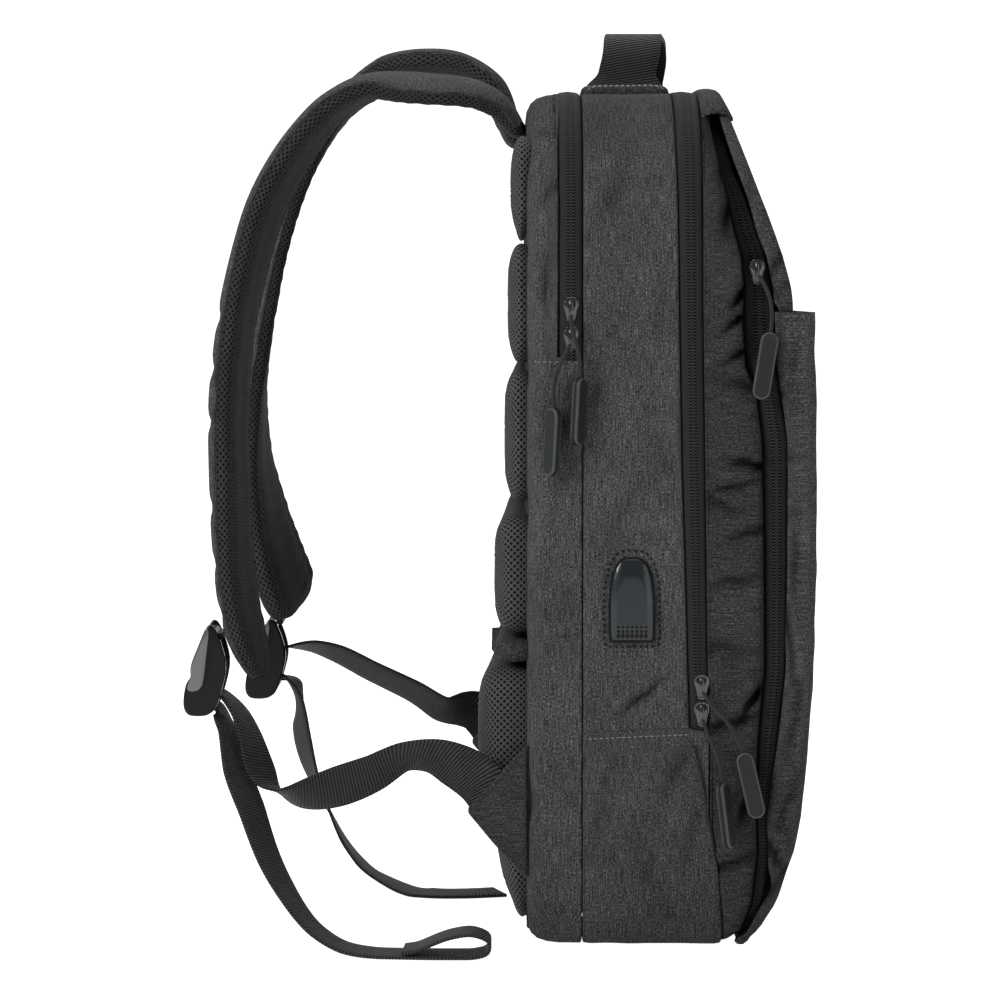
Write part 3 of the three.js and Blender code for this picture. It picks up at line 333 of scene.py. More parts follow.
def air_mesh(name, yarn=0.06, across=2.7, rows=1.75):
    """Knitted spacer mesh: oval holes in staggered rows between thick yarns."""
    n = Nodes(name)
    u, v = n.uv()
    lattice = n.times(n.math("COSINE", n.times(u, 2 * math.pi / across)),
        n.math("COSINE", n.times(v, math.pi / rows)))
    depth = n.ramp(lattice, (0.12, 1.0), (0.34, 0.55), (0.55, 0.0))
    knit = n.noise(n.join(n.times(u, 2.2), n.times(v, 2.2)), 1.0, 2.0)
    cloud = n.noise(n.join(n.times(u, 0.05), n.times(v, 0.05)), 1.0, 2.0)
    share = n.times(depth, n.plus(n.times(knit, 0.9), n.times(cloud, 0.5)))
    colour = n.mix(share, (0.001, 0.001, 0.001), (yarn, yarn, yarn * 1.02))
    n.height(n.plus(depth, n.times(knit, 0.25)), 0.7, 0.9)
    return n.finish(colour, 0.85, specular=0.1)


def webbing_cloth(name, bright=0.040):
    """Black ribbed webbing: cross ribs laid at a slight slant, with rows of warp over them."""
    n = Nodes(name)
    u, v = n.uv()
    slant = n.plus(v, n.times(u, 0.22))
    rib = n.sine(n.times(slant, 2 * math.pi / 1.75))
    warp = n.sine(n.times(u, 2 * math.pi / 1.3))
    height = n.plus(rib, n.times(warp, 0.3))
    dust = n.noise(n.join(n.times(u, 0.6), n.times(v, 0.25)), 1.0, 3.0)
    share = n.times(n.plus(n.times(height, 0.5), 0.42, clamp=True), n.plus(dust, 0.35))
    colour = n.mix(share, (0.0015, 0.0015, 0.0018), (bright, bright * 1.02, bright * 1.04))
    n.height(height, 0.4, 0.9)
    return n.finish(colour, 0.6, specular=0.16)


def zip_cloth(name):
    """Zip tape: herringbone cloth, and a row of stitches over the coil on each side of the
    middle line. u runs from the tape's middle."""
    n = Nodes(name)
    u, v = n.uv()
    across = n.math("ABSOLUTE", u)
    slant = n.plus(v, n.times(across, 0.75))
    twill = n.sine(n.times(slant, 2 * math.pi / 1.45))
    from_row = n.math("ABSOLUTE", n.minus(across, 1.75))
    stitch_row = n.minus(1.0, n.times(from_row, 1.15), clamp=True)
    beat = n.plus(n.times(n.sine(n.times(v, 2 * math.pi / 1.75)), 0.5), 0.5)
    loops = n.times(n.math("POWER", stitch_row, 0.6), beat)
    ridge = n.minus(1.0, n.times(across, 2.6), clamp=True)
    plain = n.minus(1.0, stitch_row)
    height = n.plus(n.times(n.times(twill, 0.35), plain), n.times(loops, -1.6))
    height = n.plus(height, n.times(ridge, 0.5))
    share = n.plus(n.times(n.times(twill, 0.34), plain), 0.36)
    share = n.minus(share, n.times(loops, 0.75))
    share = n.plus(share, n.times(n.minus(1.0, beat), n.times(stitch_row, 0.5)))
    share = n.plus(share, n.times(ridge, 0.5), clamp=True)
    colour = n.mix(share, (0.0008, 0.0008, 0.001), (0.042, 0.042, 0.046))
    n.height(height, 0.4, 0.8)
    return n.finish(colour, 0.7, specular=0.05)


def moulded(name, colour, roughness, grain=0.25, coat=0.0, scale=2.2, lift=0.04, specular=0.35):
    """Moulded plastic or rubber with a fine spark-eroded grain."""
    n = Nodes(name)
    place = n.add("ShaderNodeTexCoord").outputs["Object"]
    fine = n.noise(place, 1000 * scale, 2.0)
    cloud = n.noise(place, 60.0, 2.0)
    tone = n.mix(cloud, tuple(c * 0.85 for c in colour), tuple(c * 1.15 for c in colour))
    rough = n.math("MULTIPLY_ADD", fine, 0.12)
    rough.node.inputs[2].default_value = roughness - 0.06
    n.height(fine, lift, grain)
    return n.finish(tone, rough, coat=coat, specular=specular)


def black_metal(name):
    """Black lacquered metal, glossy, with slight unevenness."""
    n = Nodes(name)
    place = n.add("ShaderNodeTexCoord").outputs["Object"]
    cloud = n.noise(place, 300.0, 3.0)
    rough = n.math("MULTIPLY_ADD", cloud, 0.10)
    rough.node.inputs[2].default_value = 0.10
    n.shader.inputs["Metallic"].default_value = 0.35
    n.height(cloud, 0.02, 0.3)
    return n.finish((0.012, 0.012, 0.013), rough, coat=0.8, specular=0.5)


def thread(name, bright=0.10):
    n = Nodes(name)
    place = n.add("ShaderNodeTexCoord").outputs["Object"]
    twist = n.noise(place, 2500.0, 2.0)
    n.height(twist, 0.08, 0.6)
    colour = n.mix(twist, (bright * 0.6,) * 3, (bright * 1.3,) * 3)
    return n.finish(colour, 0.7, sheen=0.1, specular=0.3)


CLOTH = heather("heather_warp_up", light=0.143)
CLOTH_ACROSS = heather("heather_warp_across", along_v=False, light=0.125, dark=0.005)
CLOTH_DARK = heather("heather_binding", light=0.10, dark=0.004)
# A darker copy of the heather cloth: painted shade, for the turned gusset and the strap tabs
CLOTH_PAINTED_SHADE = heather("heather_painted_shade", along_v=False, light=0.085, dark=0.004)
MESH = air_mesh("air_mesh")
MESH_DARK = air_mesh("strap_mesh", yarn=0.034, across=2.9, rows=1.9)
WEB = webbing_cloth("webbing", bright=0.047)
# A darker copy of the webbing: painted shade, for the far webbings, the handle on the bag's top and the lock
# seats
WEB_PAINTED_SHADE = webbing_cloth("handle_webbing", bright=0.009)
ZIP = zip_cloth("zip_tape")
METAL = black_metal("black_slider_metal")
RUBBER = moulded("pull_rubber", (0.005, 0.006, 0.0065), 0.62, specular=0.28)
# Lighter rubber for the pull tabs' rounded rims: a painted highlight
RUBBER_RIM_HIGHLIGHT = moulded("pull_rubber_rim_highlight", (0.026, 0.030, 0.032), 0.5)
PLASTIC = moulded("lock_plastic", (0.0025, 0.003, 0.0035), 0.22, specular=0.16)
# Lighter grey for the locks' sloped cheeks: painted reflection on glossy black plastic; the coat's gloss is
# real
LOCK_CHEEK_REFLECTION = moulded("lock_cheek_painted_reflection", (0.045, 0.047, 0.050), 0.24, coat=0.9)
POD = moulded("pod_plastic", (0.006, 0.009, 0.011), 0.26, coat=0.15, specular=0.3)
# Near-black: painted shade in the port's grille holes, in the gap round its cover and in the pull tabs'
# seams, and the dark stitches round the port
SHADE_AND_THREAD_BLACK = moulded("painted_shade_and_thread_black", (0.0008, 0.0008, 0.0008), 0.95)
CORD = thread("pull_cord", 0.003)
THREAD = thread("stitch_thread", 0.17)
THREAD_DARK = thread("dark_thread", 0.004)


# Stitches

def stitches(name, path, pitch=3.2, long=2.2, width=0.55, material=None, slot="body_fabric"):
    """A row of short threads along a path of points."""
    path = np.asarray(path, float)
    run = run_along(path)
    count = max(1, int(run[-1] / pitch))
    vertices = []
    faces = []
    for k in range(count):
        middle = (k + 0.5) * run[-1] / count
        ends = [middle - long / 2, middle + long / 2]
        a, b = np.array([np.interp(ends, run, path[:, i]) for i in range(3)]).T
        along = (b - a) / max(np.linalg.norm(b - a), 1e-6)
        side = np.cross(along, [0.31, 0.93, 0.17])
        side /= np.linalg.norm(side)
        up = np.cross(side, along)
        base = len(vertices)
        vertices.append(a)
        for share, size in ((0.12, 0.75), (0.5, 1.0), (0.88, 0.75)):
            for i in range(6):
                turn = i * math.pi / 3
                spoke = side * math.cos(turn) + up * math.sin(turn)
                vertices.append(lerp(a, b, share) + width / 2 * size * spoke)
        vertices.append(b)
        for i in range(6):
            j = (i + 1) % 6
            faces.append([base, base + 1 + j, base + 1 + i])
            for ring in (1, 7):
                faces.append([base + ring + i, base + ring + j, base + ring + 6 + j, base + ring + 6 + i])
            faces.append([base + 13 + i, base + 13 + j, base + 19])
    thing = faces_object(name, vertices, faces, material or THREAD_DARK)
    thing.data.polygons.foreach_set("use_smooth", [True] * len(faces))
    return settle(thing, slot)


class Surface:
    """Finds a piece's surface from the near side or from above."""

    def __init__(self, *things):
        vertices = []
        polygons = []
        for thing in things:
            base = len(vertices)
            vertices += [tuple(v.co) for v in thing.data.vertices]
            polygons += [[base + i for i in p.vertices] for p in thing.data.polygons]
        self.tree = BVHTree.FromPolygons(vertices, polygons)

    def near(self, x, z, proud=0.2, side=-1):
        hit = self.tree.ray_cast(Vector((x * MM, side * 0.4, z * MM)), Vector((0, -side, 0)))[0]
        return (x, hit.y / MM + side * proud, z) if hit else None

    def top(self, x, y, proud=0.2):
        hit = self.tree.ray_cast(Vector((x * MM, y * MM, 0.8)), Vector((0, 0, -1)))[0]
        return (x, y, hit.z / MM + proud) if hit else None


# The body's outline seen from the front

def outline(step=2.6):
    """Points round the body from the middle of the base, over the near side, to the far side:
    columns y, z, the inward direction's y and z, and the length so far."""
    rows = []
    flat = HALF - BASE_RADIUS
    top_flat = HALF - TOP_RADIUS
    high = BODY_HEIGHT - TOP_RADIUS

    def arc(cy, cz, radius, start, end, steps):
        for i in range(1, steps):
            turn = lerp(start, end, i / steps)
            c, s = math.cos(turn), math.sin(turn)
            rows.append((cy + radius * c, cz + radius * s, -c, -s))

    for y in np.linspace(0, -flat, 24):
        rows.append((y, 0, 0, 1))
    arc(-flat, BASE_RADIUS, BASE_RADIUS, -math.pi / 2, -math.pi, 12)
    for z in np.linspace(BASE_RADIUS, high, int((high - BASE_RADIUS) / step) + 1):
        rows.append((-HALF, z, 1, 0))
    arc(-top_flat, high, TOP_RADIUS, math.pi, math.pi / 2, 22)
    for y in np.linspace(-top_flat, 0, 20):
        rows.append((y, BODY_HEIGHT, 0, -1))
    near = np.array(rows)
    far = near[-2:0:-1].copy()
    far[:, 0] *= -1
    far[:, 2] *= -1
    ring = np.vstack([near, far])
    closed = np.vstack([ring, ring[:1]])
    lengths = np.concatenate([[0], np.cumsum(np.hypot(*np.diff(closed[:, :2], axis=0).T))])
    return ring, lengths


RING, LENGTHS = outline()


def crowned(y, z):
    share = smooth((z - (BODY_HEIGHT - TOP_RADIUS)) / TOP_RADIUS)
    return z + CROWN * share * (1 - (y / HALF) ** 2)


def ring_points(x, inset, part=None, shrink=1.0):
    """One ring of the outline at the given x, drawn in by inset, both numbers or arrays."""
    ring = RING if part is None else RING[part]
    y = (ring[:, 0] + ring[:, 2] * inset) * shrink
    z = BODY_HEIGHT / 2 + (ring[:, 1] + ring[:, 3] * inset - BODY_HEIGHT / 2) * shrink
    return np.stack([np.broadcast_to(x, y.shape), y, crowned(y, z)], axis=1)


def band(name, columns, material, part=None, closed=True, centred=False):
    """A sheet round the outline from a list of (x, inset) pairs, back to front. With centred,
    the cloth's u runs from the sheet's middle."""
    points = np.array([ring_points(x, inset, part) for x, inset in columns])
    lengths = LENGTHS if part is None else LENGTHS[:-1][part]
    across = [0.0]
    for (x0, d0), (x1, d1) in zip(columns, columns[1:]):
        across.append(across[-1] + float(np.median(np.hypot(x1 - x0, np.asarray(d1) - np.asarray(d0)))))
    if centred:
        across = [a - across[-1] / 2 for a in across]
    uv = np.array([[(a, s) for s in lengths] for a in across])
    return mesh_object(name, points, uv, closed=closed, material=material)


# The side view of the front: "up" is a share of BODY_HEIGHT, the rest shares of FRONT_DEPTH
# in front of FRONT_START, for the gusset's edge, the flap's or pocket's edge beyond the front
# zip, and the faces of the flap and of the pocket
FRONT_PROFILE = [
    dict(up=1.000, gusset=-0.01, edge=0.05, flap=0.11, pocket=0.93),
    dict(up=0.970, gusset=0.01, edge=0.12, flap=0.22, pocket=0.93),
    dict(up=0.930, gusset=0.07, edge=0.20, flap=0.33, pocket=0.93),
    dict(up=0.890, gusset=0.14, edge=0.32, flap=0.45, pocket=0.93),
    dict(up=0.850, gusset=0.20, edge=0.41, flap=0.57, pocket=0.93),
    dict(up=0.820, gusset=0.27, edge=0.50, flap=0.66, pocket=0.93),
    dict(up=0.780, gusset=0.30, edge=0.56, flap=0.73, pocket=0.93),
    dict(up=0.740, gusset=0.29, edge=0.58, flap=0.75, pocket=0.95),
    dict(up=0.690, gusset=0.32, edge=0.60, flap=0.75, pocket=0.96),
    dict(up=0.660, gusset=0.41, edge=0.63, flap=0.75, pocket=0.97),
    dict(up=0.600, gusset=0.47, edge=0.71, flap=0.75, pocket=0.98),
    dict(up=0.470, gusset=0.49, edge=0.71, flap=0.75, pocket=0.98),
    dict(up=0.330, gusset=0.50, edge=0.70, flap=0.75, pocket=0.965),
    dict(up=0.240, gusset=0.44, edge=0.62, flap=0.75, pocket=0.915),
    dict(up=0.150, gusset=0.43, edge=0.53, flap=0.75, pocket=0.855),
    dict(up=0.110, gusset=0.44, edge=0.55, flap=0.75, pocket=0.79),
    dict(up=0.050, gusset=0.39, edge=0.48, flap=0.75, pocket=0.62),
    dict(up=0.020, gusset=0.30, edge=0.37, flap=0.75, pocket=0.46),
    dict(up=0.000, gusset=0.17, edge=0.25, flap=0.75, pocket=0.32),
]


def front_x(column, z):
    ups = [row["up"] * BODY_HEIGHT for row in reversed(FRONT_PROFILE)]
    values = [row[column] for row in reversed(FRONT_PROFILE)]
    return FRONT_START + FRONT_DEPTH * np.interp(z, ups, values)


DENT_STRENGTH = 1.8
DENT_WIDTH = 0.72

# Dents and folds pressed into a side: the middle's x and z, how long and wide, the angle of
# its length from level in degrees, and how deep
MAIN_DENTS = [
    dict(x=12.0, z=134.0, long=17.0, wide=3.2, turn=38, deep=1.8),
    dict(x=-14.0, z=295.0, long=12.0, wide=5.0, turn=80, deep=0.9),
    dict(x=2.0, z=232.0, long=20.0, wide=7.0, turn=60, deep=0.7),
    dict(x=24.0, z=262.0, long=22.0, wide=8.0, turn=-65, deep=0.7),
    dict(x=-2.0, z=404.0, long=20.0, wide=9.0, turn=70, deep=1.0),
    dict(x=22.0, z=340.0, long=30.0, wide=6.0, turn=85, deep=0.6),
    dict(x=-6.0, z=66.0, long=22.0, wide=7.0, turn=70, deep=0.6),
]
POCKET_SIDE_DENTS = [
    dict(x=30.0, z=94.0, long=14.0, wide=3.4, turn=62, deep=0.9),
    dict(x=-10.0, z=70.0, long=22.0, wide=6.0, turn=75, deep=0.5),
    dict(x=16.0, z=40.0, long=20.0, wide=7.0, turn=-70, deep=0.5),
    dict(x=38.0, z=60.0, long=20.0, wide=5.0, turn=78, deep=0.6),
]
GUSSET_DENTS = [
    dict(x=68.0, z=352.0, long=11.0, wide=3.0, turn=48, deep=4.5),
    dict(x=64.0, z=336.0, long=10.0, wide=2.4, turn=38, deep=3.2),
    dict(x=57.0, z=392.0, long=14.0, wide=4.0, turn=80, deep=1.6),
    dict(x=70.0, z=258.0, long=12.0, wide=3.4, turn=-8, deep=3.4),
    dict(x=60.0, z=246.0, long=16.0, wide=3.0, turn=12, deep=1.7),
    dict(x=66.0, z=300.0, long=16.0, wide=4.0, turn=-14, deep=1.4),
    dict(x=66.0, z=318.0, long=12.0, wide=3.0, turn=30, deep=2.2),
    dict(x=56.0, z=236.0, long=12.0, wide=3.0, turn=-20, deep=1.5),
    dict(x=70.0, z=222.0, long=12.0, wide=3.2, turn=18, deep=1.6),
    dict(x=56.0, z=420.0, long=16.0, wide=3.4, turn=76, deep=1.4),
    dict(x=70.0, z=131.0, long=9.0, wide=3.2, turn=58, deep=3.6),
    dict(x=60.0, z=120.0, long=13.0, wide=3.4, turn=14, deep=2.6),
    dict(x=62.0, z=196.0, long=15.0, wide=4.5, turn=8, deep=1.4),
    dict(x=58.0, z=160.0, long=12.0, wide=4.0, turn=-12, deep=1.3),
    dict(x=68.0, z=78.0, long=14.0, wide=4.0, turn=70, deep=2.4),
    dict(x=60.0, z=44.0, long=12.0, wide=4.0, turn=24, deep=1.6),
]


def dents(table, x, z):
    total = np.zeros(np.broadcast(x, z).shape)
    for d in table:
        turn = math.radians(d["turn"])
        a = (x - d["x"]) * math.cos(turn) + (z - d["z"]) * math.sin(turn)
        b = -(x - d["x"]) * math.sin(turn) + (z - d["z"]) * math.cos(turn)
        wide = d["wide"] * DENT_WIDTH
        b = b + 0.18 * wide * np.sin(a / 2.7)
        valley = np.exp(-((a / d["long"]) ** 2) - (b / wide) ** 2)
        ridge = np.exp(-((a / d["long"]) ** 2) - ((b - 2.1 * wide) / (1.3 * wide)) ** 2)
        total = total + d["deep"] * (valley - 0.45 * ridge)
    return total * DENT_STRENGTH


def painted_shade_amount(x, z, table, deep=4.0):
    """Painted shade: 0 on open cloth, up to 1 in its creases, more near the base and in the top 50 mm,
    and a little over the lower body."""
    crease = np.clip(dents(table, x, z) / deep, 0, 1)
    foot = 0.34 * smooth((40 - z) / 44)
    low = 0.08 * smooth((190 - z) / 120)
    top = 0.38 * smooth((z - 402) / 48)
    return np.clip(0.85 * crease + foot + low + top, 0, 1)


def mark_painted_shade(thing, values):
    """Writes a painted shade value for each of the piece's first vertices."""
    layer = thing.data.attributes.new("painted_shade", "FLOAT", "POINT")
    for item, value in zip(layer.data, np.ravel(values)):
        item.value = float(value)


def cloth_depth(x, table=(), ripple=0.5, seed=0.0):
    """How far the cloth lies below the outline at x: its dents, and its slight unevenness."""
    y, z = RING[:, 0], RING[:, 1]
    side = np.abs(RING[:, 2]) ** 2
    uneven = soft_noise(x, y, z, 38.0, seed) + 0.4 * soft_noise(x, y, z, 14.0, seed + 3)
    return side * dents(table, x, z) + ripple * uneven


REAR_DENTS = [
    dict(x=-27.0, z=166.6, long=6.5, wide=1.0, turn=0, deep=0.9),
    dict(x=-40.0, z=352.0, long=12.0, wide=5.0, turn=85, deep=0.7),
    dict(x=-36.0, z=404.0, long=9.0, wide=4.0, turn=50, deep=1.0),
    dict(x=-34.0, z=240.0, long=20.0, wide=6.0, turn=80, deep=0.5),
]
NOTCHES = [  # heights where the back pads' seams pull the rear edge in
    dict(up=0.689, pull=3.6),
    dict(up=0.839, pull=2.6),
    dict(up=0.518, pull=3.4),
    dict(up=0.350, pull=2.0),
    dict(up=0.172, pull=2.6),
]


def rear_shell():
    z = RING[:, 1]
    upper = z > REAR_ZIP_END
    rim = np.where(upper, MAIN_START - TAPE_WIDTH - 0.3, MAIN_START - 0.3)
    pulled = sum(row["pull"] * bump(z, row["up"] * BODY_HEIGHT, 9.0) for row in NOTCHES)
    pulled = pulled * np.abs(RING[:, 2])
    columns = [(BACK_FACE, None, shrink) for shrink in (0.02, 0.35, 0.7)]
    widen = 1 + 1.0 * smooth((z - 395) / 50) + 0.9 * smooth((22 - z) / 20)
    for x, inset in ((0.0, 14.0), (0.3, 9.5), (1.3, 5.6), (3.0, 2.9), (5.6, 1.3), (9.0, 0.5)):
        columns.append((BACK_FACE + x * widen + pulled * (0.4 + 0.6 * (x > 1)), inset, 1.0))
    for share in np.linspace(0.08, 0.93, 9):
        x = lerp(BACK_FACE + 9.0 * widen, rim, share)
        wavy = 0.5 + np.maximum(cloth_depth(x, REAR_DENTS, 0.5, 1.0), -0.5)
        columns.append((x + pulled * (1 - share) ** 2, wavy, 1.0))
    columns += [(rim - 0.9, 0.5, 1.0), (rim - 0.25, 1.0, 1.0), (rim, 2.2, 1.0), (rim, 6.0, 1.0)]
    points = []
    for x, inset, shrink in columns:
        points.append(ring_points(x, 14.0 if inset is None else inset, None, shrink))
    points = np.array(points)
    uv = np.zeros((len(columns), len(RING) + 1, 2))
    for i, ((x, inset, shrink), row) in enumerate(zip(columns, points)):
        if i < 4:
            wrapped = np.vstack([row, row[:1]])
            uv[i] = wrapped[:, 1:]
        else:
            uv[i, :, 0] = float(np.median(x)) - float(np.median(inset))
            uv[i, :, 1] = LENGTHS
    shell = mesh_object("rear_shell", points, uv, closed=True, material=CLOTH)
    # Painted shade in the creases, near the base and over the top
    mark_painted_shade(shell, painted_shade_amount(points[:, :, 0], points[:, :, 2], REAR_DENTS))
    return settle(shell, "body_fabric", "rear_compartment")


def main_rim(z):
    open_part = np.interp(z, [116.0, 146.0, 197.0, 257.0, 343.0, 447.0], [37.4, 36.2, 34.8, 32.7, 31.1, 29.4])
    return np.where(z < MAIN_ZIP_END, FRONT_START - 0.3, open_part)


def gusset_rim(z):
    open_part = np.interp(z, [116.0, 146.0, 250.0, 343.0, 447.0], [47.6, 47.0, 45.4, 44.0, 43.6])
    return np.where(z < MAIN_ZIP_END, FRONT_START, open_part)


def main_shell():
    rim = main_rim(RING[:, 1])
    columns = [(MAIN_START, 6.0), (MAIN_START, 2.4), (MAIN_START + 0.3, 1.1), (MAIN_START + 1.0, 0.45)]
    recess = POCKET_RECESS * below_pocket()
    for share in np.linspace(0.03, 0.97, 27):
        x = lerp(MAIN_START, rim, share)
        columns.append((x, recess + np.maximum(0.25 + cloth_depth(x, MAIN_DENTS, 0.6, 2.0), -0.3)))
    columns += [(rim - 1.0, 0.45), (rim - 0.3, 1.1), (rim, 2.4), (rim, 6.0)]
    shell = band("main_shell", columns, CLOTH)
    # Painted shade in the creases, near the base and over the top
    mark_painted_shade(shell, [painted_shade_amount(x, RING[:, 1], MAIN_DENTS) for x, _ in columns])
    return settle(shell, "body_fabric", "main_compartment")


def gusset_shell():
    z = RING[:, 1]
    start = gusset_rim(z)
    edge = front_x("gusset", z)
    columns = [(start, 6.0), (start, 2.4), (start + 0.3, 1.2), (start + 1.0, 0.7)]
    for share in np.linspace(0.04, 0.95, 24):
        x = lerp(start, edge, share)
        puff = 1.6 * share ** 2
        recess = POCKET_RECESS * below_pocket() * (x < side_pocket_edge(z) + 1)
        columns.append((x, recess + np.maximum(0.6 + puff + cloth_depth(x, GUSSET_DENTS, 1.3, 5.0), -0.3)))
    columns += [(edge - 0.6, 3.0), (edge, 4.6), (edge + 0.2, 7.0), (edge - 0.6, 12.0), (edge - 2.0, 18.0)]
    # The gusset takes the darker heather copy: painted shade on the turned gusset
    shell = band("gusset_shell", columns, CLOTH_PAINTED_SHADE)
    # Painted shade: darker towards the front zip, and in the creases, near the base and over the top
    near_zip_shade = [0.45 * smooth((x - edge + 8) / 9) for x, _ in columns]
    mark_painted_shade(shell, [painted_shade_amount(x, z, GUSSET_DENTS, 2.8) + e for (x, _), e in zip(columns, near_zip_shade)])
    return settle(shell, "body_fabric", "front_compartment")


def zip_tape(name, node, start, end, part, sunk):
    """A zip's tape laid round the outline: full in the middle, tucked in at both edges."""
    ring = RING[part]
    top = smooth((ring[:, 1] - 392) / 40) * 1.1
    sunk = np.broadcast_to(sunk, RING[:, 1].shape)[part]
    columns = []
    for share, deep in ((0.0, 3.6), (0.02, 2.2), (0.07, 1.2), (0.14, 0.65), (0.25, 0.4), (0.33, 0.35),
            (0.40, 0.1), (0.47, 0.0), (0.495, 0.1), (0.5, 0.35), (0.505, 0.1), (0.53, 0.0), (0.60, 0.1),
            (0.67, 0.35), (0.75, 0.4), (0.86, 0.65), (0.93, 1.2), (0.98, 2.2), (1.0, 3.6)):
        x = lerp(start, end, share)[part]
        columns.append((x, sunk + deep - top * (deep < 3)))
    thing = band(name, columns, ZIP, part=part, closed=False, centred=True)
    return settle(thing, "zip_tape", node)


def zips():
    z = RING[:, 1]
    order = np.arange(len(RING))
    rear = order[z > REAR_ZIP_END - 3]
    main = order[z > MAIN_ZIP_END - 3]
    front = order[z > 14.0]
    start = np.full(len(z), MAIN_START - TAPE_WIDTH - 0.1)
    zip_tape("zip_rear", "zip_tape_rear", start, np.full(len(z), MAIN_START - 0.2), rear, 0.3)
    zip_tape("zip_main", "zip_tape_main", main_rim(z) + 0.1, gusset_rim(z) - 0.1, main, 0.3)
    start, end = front_x("gusset", z) + 0.6, front_x("edge", z) + 0.6
    zip_tape("zip_front", "zip_tape_front", start, end, front, 5.6 + 5.0 * smooth((z - 290) / 70))


def below_pocket():
    """1 where the side pockets cover the side, fading to 0 under their hems."""
    on_side = np.abs(RING[:, 0]) > HALF - BASE_RADIUS
    return smooth((SIDE_POCKET_TOP - 3 - RING[:, 1]) / 6) * on_side


def side_pocket_edge(z):
    return np.interp(z, [0.0, 8.7, 41.0, 84.0, 115.0], [54.6, 55.0, 52.7, 45.6, 37.5])


def side_pocket(side):
    part = (RING[:, 1] < SIDE_POCKET_TOP - 6) & (RING[:, 0] < -(HALF - BASE_RADIUS))
    ring = RING[part]
    lengths = LENGTHS[:-1][part]
    for below in (5.0, POCKET_STITCH_DROP, 1.8, 0.6, 0.0):
        z = SIDE_POCKET_TOP - below
        lengths = np.append(lengths, lengths[-1] + z - ring[-1, 1])
        ring = np.vstack([ring, (-HALF, z, 1.0, 0.0)])
    z = ring[:, 1]
    edge = side_pocket_edge(z)
    start = MAIN_START + 1.0
    hem = smooth((z - (SIDE_POCKET_TOP - 5)) / 1.5)
    stitched = bump(z, SIDE_POCKET_TOP - POCKET_STITCH_DROP, 0.9)
    columns = [(start, 3.0), (start, 1.4), (start + 0.4, 0.5)]
    for share in np.linspace(0.04, 0.95, 17):
        x = lerp(start, edge, share)
        uneven = soft_noise(x, ring[:, 0], z, 34.0, 7.0) + 0.4 * soft_noise(x, ring[:, 0], z, 12.0, 9.0)
        columns.append((x, 0.1 + 0.55 * uneven + dents(POCKET_SIDE_DENTS, x,
            z) - 0.35 * hem + 0.5 * stitched))
    columns += [(edge - 0.8, 0.3), (edge, 1.0), (edge, 3.0)]
    points = []
    for x, inset in columns:
        y = ring[:, 0] + ring[:, 2] * inset
        height = ring[:, 1] + ring[:, 3] * inset + smooth((z - 60) / 54) * (x + 20) * POCKET_SLOPE
        points.append(np.stack([np.broadcast_to(x, y.shape), y, height], axis=1))
    points = np.array(points)
    if side > 0:
        points[:, :, 1] *= -1
    across = [float(np.median(x)) for x, _ in columns]
    uv = np.array([[(a, s) for s in lengths] for a in across])
    name = f"side_pocket_{SIDES[side]}"
    thing = mesh_object(name + "_cloth", points, uv, flip=side > 0, material=CLOTH)
    # Painted shade over the whole pocket, more in its creases, near the base and over the lower body
    mark_painted_shade(thing, 0.10 + painted_shade_amount(points[:, :, 0], points[:, :, 2], POCKET_SIDE_DENTS, 2.4))
    solidify(thing, 1.2, 1.0)
    return settle(thing, "body_fabric", name)


# The front flap and the front pocket

def half_width(z):
    low = np.maximum(BASE_RADIUS - z, 0)
    high = np.maximum(z - (BODY_HEIGHT - TOP_RADIUS), 0)
    foot = HALF - BASE_RADIUS + np.sqrt(np.maximum(BASE_RADIUS ** 2 - low ** 2, 0))
    head = HALF - TOP_RADIUS + np.sqrt(np.maximum(TOP_RADIUS ** 2 - high ** 2, 0))
    return np.where(z < BASE_RADIUS, foot, np.where(high > 0, head, HALF))


def front_row(z, column, inset, behind, lip=7.0, table=(), squeeze=0.0):
    """One level row of the flap or the pocket, from the near lip round to the far lip."""
    wide = float(half_width(z)) - inset
    back = float(front_x("edge", z)) + behind
    front = max(float(front_x(column, z)), back + 0.6)
    front = lerp(front, back + 0.8, squeeze)
    round_off = min(6.0, (front - back) * 0.6)
    half = [(back + 0.8, wide - lip), (back + 0.1, wide - lip * 0.5), (back, wide - 2.0),
        (back + 0.5, wide - 0.7), (back + 1.4, wide - 0.2)]
    for share in np.linspace(0.12, 0.9, 8):
        half.append((lerp(back + 1.4, front - round_off, share), wide))
    for i in range(0, 7):
        turn = i / 6 * math.pi / 2
        half.append((front - round_off + round_off * math.sin(turn),
            wide - round_off + round_off * math.cos(turn)))
    for share in np.linspace(0.05, 1.0, 18):
        half.append((front + 0.8 * smooth(share * 1.6), (wide - round_off) * (1 - share)))
    half = np.array(half)
    far = half[-2::-1].copy()
    row = np.vstack([half * (1, -1), far])
    x, y = row[:, 0], row[:, 1]
    zs = np.full(len(x), float(z))
    sides = smooth((np.abs(y) - (wide - 3)) / 2.5)
    uneven = soft_noise(x, y, zs, 36.0, 11.0) + 0.45 * soft_noise(x, y, zs, 13.0, 4.0)
    press = sides * dents(table, x, zs) + 0.5 * uneven * (x > back + 2)
    y = np.where(sides > 0, y - np.sign(y) * press, y)
    x = np.where(sides < 1, x - (1 - sides) * 0.9 * uneven, x)
    return np.stack([x, y, crowned(y, zs)], axis=1)


